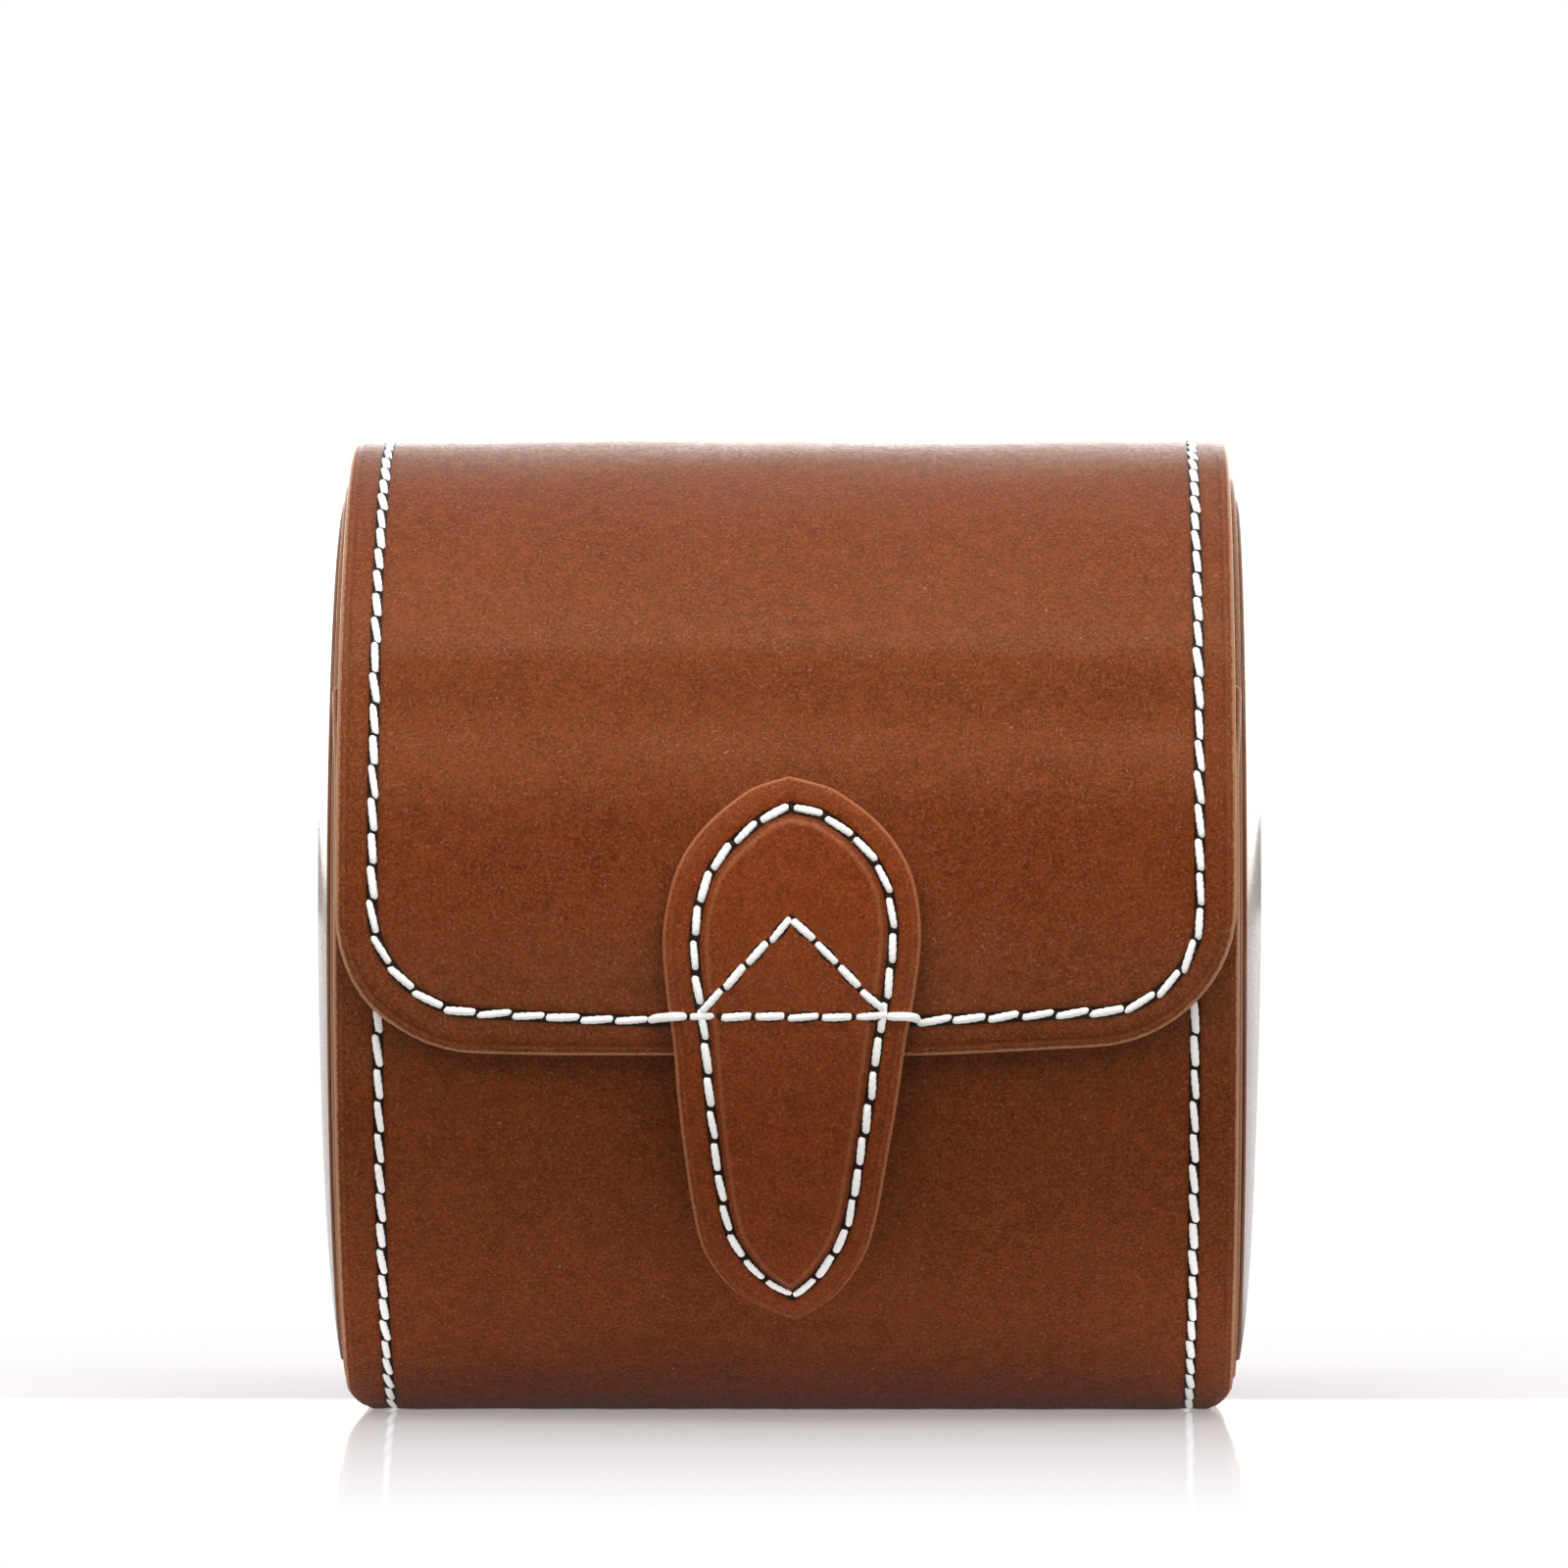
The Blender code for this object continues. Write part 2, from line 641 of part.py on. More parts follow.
def make_cushion():
    """A foam roll in a suede cover whose ends are drawn in over two end discs."""
    floor_point = place(0, -pi / 2, wrap_radius - wrap_stack)
    centre_height = floor_point.z + seat_gap + cushion_radius
    inner = cushion_cover_thick + layer_gap
    outside = cushion_face(cushion_half_length, cushion_radius, cushion_crown, cushion_shoulder)
    inside = cushion_face(cushion_half_length - cushion_cover_thick,
                          cushion_radius - cushion_cover_thick, cushion_crown,
                          cushion_shoulder - cushion_cover_thick)
    foam = cushion_face(cushion_half_length - inner, cushion_radius - inner, cushion_crown,
                        cushion_shoulder - inner)
    lip = cushion_half_length - cushion_end_recess
    outer_half = outside[:-1] + [(lip, cushion_mouth_radius)]
    inner_half = inside[:-1] + [(lip - cushion_cover_thick, cushion_mouth_radius)]
    cover = [(-x, radius) for x, radius in reversed(outer_half[1:])] + outer_half
    cover += list(reversed(inner_half)) + [(-x, radius) for x, radius in inner_half[1:]]
    disc_outer = lip - layer_gap
    disc_inner = disc_outer - cushion_end_thick
    foam_end = disc_inner - layer_gap
    foam_half = [(min(x, foam_end), radius) for x, radius in foam] + [(foam_end, 0)]
    foam_profile = [(-x, radius) for x, radius in reversed(foam_half[1:])] + foam_half
    disc_radius = cushion_mouth_radius - seat_gap
    disc = [(disc_outer + cushion_end_rise, 0),
            (disc_outer + cushion_end_rise * cushion_disc_share,
             disc_radius * cushion_disc_share),
            (disc_outer, disc_radius), (disc_inner, disc_radius), (disc_inner, 0)]
    pieces = [cushion_piece("cushion_cover", cover, brown_suede, centre_height),
              cushion_piece("cushion_foam", foam_profile, pale_foam, centre_height)]
    for side, word in ((-1, "left"), (1, "right")):
        profile = [(side * x, radius) for x, radius in disc]
        pieces.append(cushion_piece("cushion_end_" + word, profile, brown_suede, centre_height))
    return pieces, centre_height


def cushion_piece(name, profile, finish, centre_height):
    """A round piece of the cushion."""
    shape = spun(profile, cushion_turn_steps)
    bmesh.ops.translate(shape, vec=(0, 0, centre_height), verts=shape.verts)
    bmesh.ops.recalc_face_normals(shape, faces=shape.faces)
    return mesh_piece(name, shape, finish, smooth=True)


def build_roll():
    """Builds the whole roll in an emptied scene."""
    for thing in list(bpy.data.objects):
        bpy.data.objects.remove(thing)
    for word in ("watch_roll", "cutters"):
        bpy.context.scene.collection.children.link(bpy.data.collections.new(word))
    make_wrap()
    make_ends()
    make_wrap_seams()
    flap_pieces = make_flap()
    tab_fixed, tab_free = make_tab()
    tab_free += make_snap()
    cushion_pieces, cushion_height = make_cushion()
    flap_axis = add_joint_axis("flap_hinge_axis", place(0, hinge_angle, wrap_radius + layer_gap))
    tab_axis = add_joint_axis("tab_flex_axis",
                              place(0, tab_flex_angle, tab_face(tab_flex_angle) + layer_gap))
    cushion_axis = add_joint_axis("cushion_lift_axis", Vector((0, 0, cushion_height)))
    carry(flap_axis, flap_pieces + tab_fixed)
    carry(tab_axis, tab_free)
    carry(cushion_axis, cushion_pieces)


build_roll()
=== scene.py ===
from math import cos, pi, radians, sin

import bmesh
import bpy
import numpy as np
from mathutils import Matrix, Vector


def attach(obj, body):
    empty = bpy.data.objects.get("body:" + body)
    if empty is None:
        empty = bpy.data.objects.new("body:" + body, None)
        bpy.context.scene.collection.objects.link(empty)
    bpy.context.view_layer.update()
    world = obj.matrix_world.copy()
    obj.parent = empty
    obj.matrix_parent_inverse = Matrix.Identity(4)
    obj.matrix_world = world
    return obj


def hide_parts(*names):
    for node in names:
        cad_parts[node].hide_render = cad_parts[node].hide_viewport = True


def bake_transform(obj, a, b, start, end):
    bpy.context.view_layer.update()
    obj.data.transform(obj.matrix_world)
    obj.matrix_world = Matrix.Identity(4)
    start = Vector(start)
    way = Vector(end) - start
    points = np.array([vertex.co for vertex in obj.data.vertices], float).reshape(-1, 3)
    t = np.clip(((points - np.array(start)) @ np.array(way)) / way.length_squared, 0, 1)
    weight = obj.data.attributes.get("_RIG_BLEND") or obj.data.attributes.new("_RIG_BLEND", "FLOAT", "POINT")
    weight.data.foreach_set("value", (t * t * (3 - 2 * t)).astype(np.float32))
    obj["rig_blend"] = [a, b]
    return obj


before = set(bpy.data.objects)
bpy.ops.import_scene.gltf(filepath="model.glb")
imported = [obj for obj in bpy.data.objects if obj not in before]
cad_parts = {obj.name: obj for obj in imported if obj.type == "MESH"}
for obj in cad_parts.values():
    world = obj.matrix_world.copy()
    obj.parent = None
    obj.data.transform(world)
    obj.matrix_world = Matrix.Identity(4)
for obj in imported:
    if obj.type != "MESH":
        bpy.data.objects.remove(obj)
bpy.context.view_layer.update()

MM = 0.001
TO_MM = 1000.0
# The distance marked on a point that is far from every edge and seam
FAR_OFF = 0.009
# Points closer than this become one
WELD = 0.000002

# The drum, as the model has it
OVERALL_HEIGHT = 0.0955
WRAP_RADIUS = 0.0480
WRAP_HALF_WIDTH = 0.04325
WALL_TOP = radians(31)
HINGE = radians(139)
SOLE = radians(-90)
BACK_SOLE = radians(270)
FLAP_LAP = 0.0027
THREAD_STAND = 0.0008
LAYER_GAP = 0.00015
SEAT_GAP = 0.0003
LEATHER = 0.0012
FLAP_HALF_WIDTH = 0.0427
FLAP_EDGE = radians(-12.6)
FLAP_CORNER = 0.0134
WALL_CORNER = 0.0012
FLAP_SEAM_INSET = 0.0035
FLAP_BOTTOM_SEAM = 0.0033
SEAM_CORNER_LEFT, SEAM_CORNER_RIGHT = 0.0100, 0.0092
WALL_SEAM_X = 0.0388
WALL_HALF_WIDTH = 0.0430
# The front wall's flare at its top corners, and the angles that it grows between
WALL_FLARE, WALL_FLARE_SPAN = 0.00035, (radians(18), radians(30))
# How much narrower the leather is cut on the sole, and the angles from it that this fades over
SOLE_TRIM, SOLE_TRIM_FADE = 0.0018, (radians(12), radians(24))
# The angles from the sole's middle over which a point leaves it
SOLE_FADE = (radians(10), radians(25))
# The angles between which the back's width and seam turn into the flap's
FLAP_CUT_START, FLAP_CUT_END = radians(152), radians(126)
# The flap's lower seam rises towards the left, between these X
BOTTOM_SEAM_RISE, BOTTOM_SEAM_SPAN = 0.0005, (0.012, 0.030)
# How the flap's lower edge leaves its level: side, rise, and the X it starts and ends at. Higher
# up the flap the rise fades.
FLAP_EDGE_CUTS = ((1, 0.00095, 0.010, 0.036), (1, -0.00025, 0.038, 0.042),
                  (-1, 0.00025, 0.020, 0.034), (-1, -0.00060, 0.036, 0.0415))
FLAP_CUT_FADE = (0.004, 0.024)
# Ripples across the flap: the angle of each in degrees, its height, and its spread in degrees.
# They fade out by the flap's sides.
FLAP_RIPPLES = ((33.2, 0.00056, 4.0), (24.8, -0.00064, 4.0), (16.0, 0.00036, 4.0))
RIPPLE_FADE_X = (0.036, 0.0425)
# How uneven the leather is, and how much the table presses it in
HIDE_WAVE, SOLE_SINK = 0.00005, 0.00002
# The groove that a seam lies in
SEAM_DEEP, SEAM_WIDE = 0.00010, 0.00062
# The line pressed beside a cut edge, and how far the rubbed edge lies below the face
CREASE_AT, CREASE_DEEP, CREASE_WIDE = 0.0009, 0.00003, 0.00014
RUBBED_DOWN = 0.00014
# A cut edge's round face corner and back corner
HIDE_ROUND, HIDE_BACK_ROUND = 0.0005, 0.0003
# How far the lower edge is rounded up on the sole: its face, over this width, and its edge
SOLE_ROUND_FACE, SOLE_ROUND_WIDTH, SOLE_ROUND_EDGE = 0.00035, 0.0018, 0.0002
# Boards and linings: their thickness on the back and flap and on the wall, their inset and corner
BOARD = {"over": 0.00040, "wall": 0.00050}
BOARD_INSET, BOARD_CORNER = 0.0005, 0.00005
LINING = {"over": 0.00050, "wall": 0.00060}
LINING_INSET, LINING_CORNER = 0.0003, 0.0002
# Where the leather starts and ends its bend when the flap opens
BEND_START = radians(149)
BEND_END = radians(130)

# The tab
TAB_OFFSET = 0.0006
TAB_TOP = radians(17.2)
TAB_TIP = radians(-44.8)
TAB_HALF_WIDTH = 0.01225
TAB_STACK = 0.0026
TAB_BACKING = 0.0006
# How far in the tab's seam runs: on its left, on its right, and the extra by its lower tip
TAB_SEAM_LEFT, TAB_SEAM_RIGHT, TAB_SEAM_TIP = 0.00305, 0.00265, 0.0005
TAB_TIP_DROP = 0.0010
TAB_TIP_TURN = radians(9)
# The tab's face: its border lies this much lower than its pad, which swells a little. Then its
# seam's groove, and how far its rubbed edge lies below the border before it rounds over.
TAB_BORDER_SUNK, TAB_PAD_SWELL = 0.0003, 0.00012
TAB_GROOVE_DEEP, TAB_GROOVE_WIDE = 0.00012, 0.0006
TAB_RUBBED_DOWN, TAB_ROUND = 0.00016, 0.0007
# The back edge of the tab's leather, rounded in two steps, and its backing's edge and corners
TAB_BACK_ROUND, TAB_BACK_SOFT = 0.0002, 0.00006
TAB_BACKING_INSET, TAB_BACKING_FACE = 0.0003, 0.0005
TAB_BACKING_TOP_ROUND, TAB_BACKING_FOOT_ROUND = 0.00008, 0.00012
# Rings of its plain faces: the inset of the outermost, and shares of the way on to the spine
TAB_PLAIN_INSET, TAB_PLAIN_SHARES = 0.0030, (0.1, 0.5, 1.0)
# How far the tab's spine stops short of its lower and upper points
SPINE_ABOVE_TIP, SPINE_BELOW_TOP = 0.010, 0.008
# Where the tab starts and ends its bend when it is unsnapped
TAB_BEND_RADIUS = 0.0515
TAB_FLEX_START = radians(-10.2)
TAB_FLEX_END = radians(-16.2)
# Share of the tab's length from its upper point, its half width there, and its lean to the side
TAB_OUTLINE = (
    (0.0, 0.0, -0.02), (0.012, 0.20, -0.01), (0.027, 0.36, 0.0), (0.075, 0.64, 0.01),
    (0.13, 0.84, 0.01), (0.19, 0.95, 0.01), (0.27, 1.0, 0.0), (0.36, 0.965, -0.01),
    (0.45, 0.90, -0.02), (0.55, 0.85, -0.035), (0.67, 0.775, -0.05), (0.75, 0.72, -0.055),
    (0.83, 0.635, -0.06), (0.91, 0.44, -0.05), (0.96, 0.23, -0.02), (1.0, 0.0, 0.02),
)
CHEVRON_APEX = radians(2.3)
CHEVRON_FOOT = radians(-7.2)
CHEVRON_HALF = 0.0086
CROSS_LINE = radians(-7.7)

# The ends of the drum
END_RIM_RADIUS = 0.0451
END_RIM_OUTER = 0.0434
END_BOARD_INNER = 0.0402
END_LIP = 0.0040
END_PANEL_INNER = 0.0437
END_PANEL_RADIUS = 0.0433
END_PANEL_CROWN = 0.04605
END_PANEL_LEAN = 0.011
# How an end panel's dome falls away: its curve, and the extra fall from a radius out to its rim
PANEL_CURVE = 0.91
PANEL_RIM_FALL, PANEL_RIM_START, PANEL_RIM_WIDTH = 0.00055, 0.030, 0.0133
# Its round edge, how far its back is sunk, its least depth at its edge, and how near its face a
# point must be to lean with it
PANEL_SOFT, PANEL_BACK_SUNK, PANEL_LEAST, PANEL_FACE_DEPTH = 0.00028, 0.0001, 0.00005, 0.0004
PANEL_RINGS = (*np.linspace(0, 0.028, 9), *np.linspace(0.030, 0.042, 13), 0.0424, 0.0427)
# A rim band's wall, its rounded outer corner, its other corners, where its flat side starts, and
# how far inside its sharp corner the rubbed part is centred
RIM_WALL, RIM_ROUND, RIM_SOFT, RIM_FLAT = 0.0006, 0.0004, 0.0002, 0.0010
RIM_CORNER_IN = 0.00012
PANEL_BACK_RING = 0.02
END_LINING_INNER = 0.0394
END_LINING_OUTER = 0.04005
END_LINING_RADIUS = 0.04435
END_LINING_RINGS = (0.04, 0.03, 0.02, 0.01, 0)
# Points round the panels and bands, and round the linings
END_STEPS, END_LINING_STEPS = 144, 128

# The cushion
CUSHION_RADIUS = 0.0310
CUSHION_HEIGHT = 0.0339
# Points round the cushion and round its end discs
PILLOW_STEPS, CAP_STEPS = 240, 96
# Its face is a little barrelled out to this X, in steps. Then come a shoulder, whose centre lies
# lower than the face by its drop, and which is rounded from this angle on, and the drawn-in mouth.
CUSHION_FACE_X, CUSHION_BARREL, CUSHION_FACE_STEPS = 0.033, 0.0016, 12
SHOULDER, SHOULDER_DROP, SHOULDER_START, SHOULDER_STEPS = 0.0045, 0.0061, radians(82), 10
CUSHION_MOUTH = 0.0235
# The roll of suede at a mouth and the edge of an end disc, as X and radius less the mouth's, and
# the disc's face as X and radius
MOUTH_ROLL = ((0.0373, 0.0004), (0.0368, -0.0002), (0.0358, -0.0004), (0.0345, -0.0004))
CAP_FACE = ((0.0371, 0), (0.03695, 0.008), (0.0365, 0.016))
CAP_EDGE = ((0.0361, -0.0014), (0.03585, -0.0009), (0.0353, -0.0008), (0.0349, -0.0010))
CAP_BACK = 0.0348
# How deep its gathers and its slack are, how much slimmer the slack leaves it, and where they lie
GATHER, SLACK, SLACK_IN = 0.00026, 0.00016, 0.0002
GATHER_X, GATHER_RADIUS = (0.026, 0.0355), (CUSHION_MOUTH - 0.001, CUSHION_MOUTH + 0.004)
SLACK_X = (0.024, 0.034)
RIGHT_GATHERS_TURN = 1.7
LEAST_RADIUS = 0.004

# Stitches: their pitch, the share of it that shows, how far they lean, and their thread
STITCH_PITCH, TAB_PITCH = 0.00325, 0.00335
STITCH_SHARE, TAB_STITCH_SHARE = 0.85, 0.75
STITCH_SLANT, TAB_STITCH_SLANT = radians(6), radians(3)
THREAD_WIDTH, THREAD_FLATNESS, BRIDGE_THREAD = 0.00080, 0.88, 0.00042
# How high a stitch stands and how deep it dives, and how far it strays from its line
STITCH_RISE, STITCH_SINK, STITCH_WANDER = 0.00014, 0.00030, 0.00005
# How much single stitches differ: their slant in radians, and shares of their length and width
SLANT_RANGE, LENGTH_RANGE, WIDTH_RANGE = (-0.05, 0.05), (0.93, 1.05), (0.90, 1.06)
# How much of its drawn height a stitch keeps where nothing presses it
STITCH_HEIGHT_SHARE = 0.70
# A stitch's form: points along it, the powers that square its hump and its ends, the least value
# that its ends taper from, and its twist in radians from its middle to its end
STRAND_POINTS, HUMP_POWER, END_POWER, END_LEAST, STRAND_TWIST = 9, 0.6, 0.43, 0.004, 1.3
# The awl hole, a near-black mark painted as the shade inside it: its width as a share of the thread's, and
# its depth. The dark bed of painted shadow under each stitch has its length as a share of the stitch's, its
# width as one of the thread's, and its depth.
HOLE_WIDTH_SHARE, HOLE_DEEP = 0.90, 0.00030
SHADOW_BED_LENGTH_SHARE, SHADOW_BED_WIDTH_SHARE, SHADOW_BED_DEEP = 1.10, 1.50, 0.00028
STITCH_SEED = 7
# How closely a seam's guide is drawn, how far each way its slope is measured, and the steps that
# are too short to keep
GUIDE_STEP, SLOPE_STEP, LEAST_STEP = 0.0006, 0.0002, 0.00005
# Where the back's seam starts under the sole
BACK_SEAM_FOOT = radians(269.4)
# The front wall's seam: degrees round the drum, and the share of their height that its stitches
# keep there, because the flap presses them at the top and the table at the foot
WALL_SEAM = ((28.5, 0.45), (10, 0.45), (-9, 0.45), (-12, 1.0), (-40, 1.0), (-66, 1.0), (-74, 0.2),
             (-89.4, 0.2))
# How much of the height of the back's stitches the table presses away on the sole
SOLE_PRESS = 0.8
# Where the cross line's stitches enter the tab, pass its edge, and leave it for the flap
CROSS_LEFT, CROSS_RIGHT = -0.00927, 0.00948
TAB_EDGE_LEFT, TAB_EDGE_RIGHT = -0.01126, 0.01198
BRIDGE_LEFT, BRIDGE_RIGHT = -0.01302, 0.01245
# The way of a stitch that bridges the tab's edge. From its hole: steps outwards, and heights over
# the tab's border. About the edge: steps outwards, along the drum, and heights. Then its fall.
BRIDGE_AT_HOLE = ((0.0001, -0.00030), (0.0004, 0.00018))
BRIDGE_AT_EDGE = ((-0.0007, 0.0, 0.00022), (0.00015, -0.0002, -0.00060))
BRIDGE_FALL_SHARE, BRIDGE_FALL_HEIGHT, BRIDGE_END_HEIGHT = 0.45, 0.00105, -0.00025
# Its rings, the flat sides of all the thread, and the power and least value that its ends taper by
BRIDGE_RINGS, THREAD_SIDES, BRIDGE_END_POWER, BRIDGE_END_LEAST = 13, 8, 0.4, 0.03
# Half the length and the radius that the thread's pattern is drawn for
PATTERN_HALF, PATTERN_RADIUS = 0.002, 0.0005


def climb(angle):
    """How far the flap has climbed from the back, at 0, on to the front wall, at 1."""
    reach = cos(WALL_TOP) - cos(HINGE)
    turned = np.where(angle > HINGE, -1.0, np.cos(angle))
    return np.clip((turned - cos(HINGE)) / reach, 0, 1) ** 2


def over_face(angle):
    """Radius of the outer face of the back and flap."""
    return WRAP_RADIUS + FLAP_LAP * climb(angle)


def wall_face(angle):
    """Radius of the front wall's outer face."""
    return WRAP_RADIUS + 0 * angle


AXIS_HEIGHT = OVERALL_HEIGHT - THREAD_STAND - float(over_face(np.array(pi / 2)))
SOLE_DROP = WRAP_RADIUS - AXIS_HEIGHT


def place(x, angle, radius):
    """Points of the drum, drawn in where it stands flat on its sole."""
    x, angle, radius = np.broadcast_arrays(x, angle, radius)
    down = -np.sin(angle) * radius
    sole = radius - SOLE_DROP
    reach = np.where(down > sole, radius * sole / np.maximum(down, MM), radius)
    return np.stack([x, -reach * np.cos(angle), AXIS_HEIGHT + reach * np.sin(angle)], axis=-1)


def ease(value, low, high):
    """A smooth step from 0 at low to 1 at high."""
    share = np.clip((value - low) / (high - low), 0, 1)
    return share * share * (3 - 2 * share)


def dent(distance, depth, width):
    """A soft groove of this depth and width about distance zero."""
    return -depth * np.exp(-(distance / width) ** 2)


def flap_share(angle):
    """How much of the flap's own cut a point of the back and flap has, from 0 on the back to 1."""
    return ease(-angle, -FLAP_CUT_START, -FLAP_CUT_END)


def sole_trim(angle):
    """How much narrower the leather is cut where it turns under on to the sole."""
    off = np.minimum(np.abs(angle - SOLE), np.abs(angle - BACK_SOLE))
    return SOLE_TRIM * (1 - ease(off, *SOLE_TRIM_FADE))


def over_half(angle):
    """Half width of the back and flap."""
    plain = WRAP_HALF_WIDTH + (FLAP_HALF_WIDTH - WRAP_HALF_WIDTH) * flap_share(angle)
    return plain - sole_trim(angle)


def over_seam(angle):
    """Inset of the seam along the back and flap."""
    flap_x = FLAP_HALF_WIDTH - FLAP_SEAM_INSET
    return over_half(angle) - WALL_SEAM_X - (flap_x - WALL_SEAM_X) * flap_share(angle)


def bottom_seam_rise(x):
    """How much the flap's lower seam rises towards the left."""
    return BOTTOM_SEAM_RISE * ease(-x, *BOTTOM_SEAM_SPAN)


def wall_half(angle):
    """Half width of the front wall, which flares a little at its top corners."""
    return WALL_HALF_WIDTH + WALL_FLARE * ease(angle, *WALL_FLARE_SPAN) - sole_trim(angle)


def wall_seam(angle):
    """Inset of the seam along the front wall."""
    return wall_half(angle) - WALL_SEAM_X


def mesh_of(name, points, faces, marks):
    """A closed smooth mesh. Its marks are numbers at its points, such as an edge's distance."""
    shape = bmesh.new()
    layers = {word: shape.verts.layers.float.new(word) for word in marks}
    verts = [shape.verts.new(point) for point in points]
    for word, layer in layers.items():
        for vert, value in zip(verts, marks[word]):
            vert[layer] = float(value)
    for face in faces:
        shape.faces.new([verts[index] for index in face])
    bmesh.ops.remove_doubles(shape, verts=shape.verts, dist=WELD)
    bmesh.ops.dissolve_degenerate(shape, edges=shape.edges, dist=WELD / 4)
    bmesh.ops.recalc_face_normals(shape, faces=shape.faces)
    data = bpy.data.meshes.new(name)
    shape.to_mesh(data)
    shape.free()
    data.shade_smooth()
    keep_rest_place(data)
    return data


def keep_rest_place(data):
    """Stores where each point lies at rest, so that a finish stays put when the leather bends."""
    rest = data.attributes.new("rest_place", "FLOAT_VECTOR", "POINT")
    spots = np.zeros(len(data.vertices) * 3, np.float32)
    data.vertices.foreach_get("co", spots)
    rest.data.foreach_set("vector", spots)


def piece_of(data, finish):
    """Puts a finished mesh into the scene as a piece of the roll."""
    piece = bpy.data.objects.new(data.name, data)
    bpy.context.scene.collection.objects.link(piece)
    data.materials.append(finish)
    return piece


def band_faces(rows, columns, closed=False, row_closed=False):
    """Quads between neighbouring rows of points."""
    faces = []
    for row in range(rows if row_closed else rows - 1):
        under = (row + 1) % rows
        for column in range(columns if closed else columns - 1):
            beside = (column + 1) % columns
            faces.append((row * columns + column, row * columns + beside,
                          under * columns + beside, under * columns + column))
    return faces


# Leather, boards and linings

def drawn_inset(inset, seam, plain_seam):
    """An inset moved so that the rings about the plain seam follow the real one."""
    settle = 0.012
    near = inset * seam / plain_seam
    far = inset + (seam - plain_seam) * (settle - inset) / (settle - plain_seam)
    return np.where(inset <= plain_seam, near, np.where(inset < settle, far, inset))


def sheet_route(start, edge, corner, half, seam, leg_steps, corner_steps, edge_steps):
    """The line a ring of a sheet follows: up one side, round the free edge and down the other."""
    toward = 1 if start > edge else -1
    edge_arc = edge * WRAP_RADIUS
    plain_half = float(half(np.array(edge)))
    plain_seam = float(seam(np.array(edge)))

    def route(inset):
        middle = min(inset, plain_half)
        round_size = max(corner - middle, 0)
        corner_arc = edge_arc + toward * max(corner, middle)
        leg_arc = np.linspace(start * WRAP_RADIUS, corner_arc, leg_steps)
        leg_angle = leg_arc / WRAP_RADIUS
        drawn = drawn_inset(np.array(middle), seam(leg_angle), plain_seam)
        leg_x = np.maximum(half(leg_angle) - drawn, 0)
        if inset >= plain_half:
            leg_x = leg_x * 0
        turn = np.linspace(0, pi / 2, corner_steps + 2)[1:-1]
        corner_x = plain_half - max(corner, middle) + round_size * np.cos(turn)
        corner_y = corner_arc - toward * round_size * np.sin(turn)
        edge_half = plain_half - max(corner, middle)
        edge_x = np.linspace(-edge_half, edge_half, edge_steps)
        meets = leg_x[-1] / max(plain_half - middle, MM * MM)
        corner_x, edge_x = corner_x * meets, edge_x * meets
        edge_y = np.full(edge_steps, edge_arc + toward * middle)
        x = np.concatenate([-leg_x, -corner_x, edge_x, corner_x[::-1], leg_x[::-1]])
        arc = np.concatenate([leg_arc, corner_y, edge_y, corner_y[::-1], leg_arc[::-1]])
        return x, arc / WRAP_RADIUS

    return route


def sole_rounding(angle, inset, side):
    """How far a sheet's edge is rounded up where the roll rests on its sole."""
    near = on_sole(angle)
    if side > 0:
        return SOLE_ROUND_FACE * near * max(1 - inset / SOLE_ROUND_WIDTH, 0) ** 2
    return SOLE_ROUND_EDGE * near if side == 0 else 0 * near


def flap_cut(x, angle):
    """Where a point of the flap's pattern really lies: its lower edge rises towards its corners."""
    rise = sum(height * ease(side * x, start, end) for side, height, start, end in FLAP_EDGE_CUTS)
    above = (angle - FLAP_EDGE) * WRAP_RADIUS
    return angle + rise * (1 - ease(above, *FLAP_CUT_FADE)) / WRAP_RADIUS


def uncut(x, angle):
    """A pattern point that lies as it is drawn."""
    return angle + 0 * x


def swept_sheet(name, route, section, relief, cut):
    """A sheet whose section is carried along its edge. The section is rows of inset, height,
    distance to the edge and side, which is 1 on the outer face, 0 on the edge and -1 inside."""
    points, edge_mm, seam_mm = [], [], []
    for inset, height, edge, side in section:
        x, angle = route(inset)
        lift, seam = relief(x, angle, side)
        lift = lift - sole_rounding(angle, inset, side)
        points.append(place(x, cut(x, angle), lift + height))
        edge_mm.append(np.full(len(x), edge * TO_MM))
        seam_mm.append(seam * TO_MM)
    rows, columns = len(section), len(points[0])
    faces = band_faces(rows, columns)
    for column in (0, columns - 1):
        faces.append([row * columns + column for row in range(rows)])
    return mesh_of(name, np.concatenate(points), faces,
                   {"edge_mm": np.concatenate(edge_mm), "seam_mm": np.concatenate(seam_mm)})


# Insets of the rings of a face: its plain middle, then about its seam, and by its edge
MIDDLE_RINGS_END, MIDDLE_RING_STEP = 0.008, 0.0022
SEAM_RINGS = np.arange(0.0027, -0.0011, -0.0003)
EDGE_RINGS = (0.0030, 0.0024, 0.0020, 0.0017, 0.00145, 0.0013, 0.00115, 0.0010, 0.0009, 0.0008,
              0.00066, 0.00052)
SEAM_CLEAR = 0.0012
PLAIN_EDGE_RINGS = (0.005, 0.002)


def plain_insets(half):
    """Insets of a plain face's rings, from its middle to its edge."""
    return [*np.arange(half, MIDDLE_RINGS_END, -MIDDLE_RING_STEP), *PLAIN_EDGE_RINGS]


def sewn_insets(half, seam):
    """Insets of a sewn face's rings, closer together at its seam and edge."""
    by_edge = [step for step in EDGE_RINGS if step < seam - SEAM_CLEAR]
    return [*np.arange(half, MIDDLE_RINGS_END, -MIDDLE_RING_STEP), *(seam + SEAM_RINGS), *by_edge]


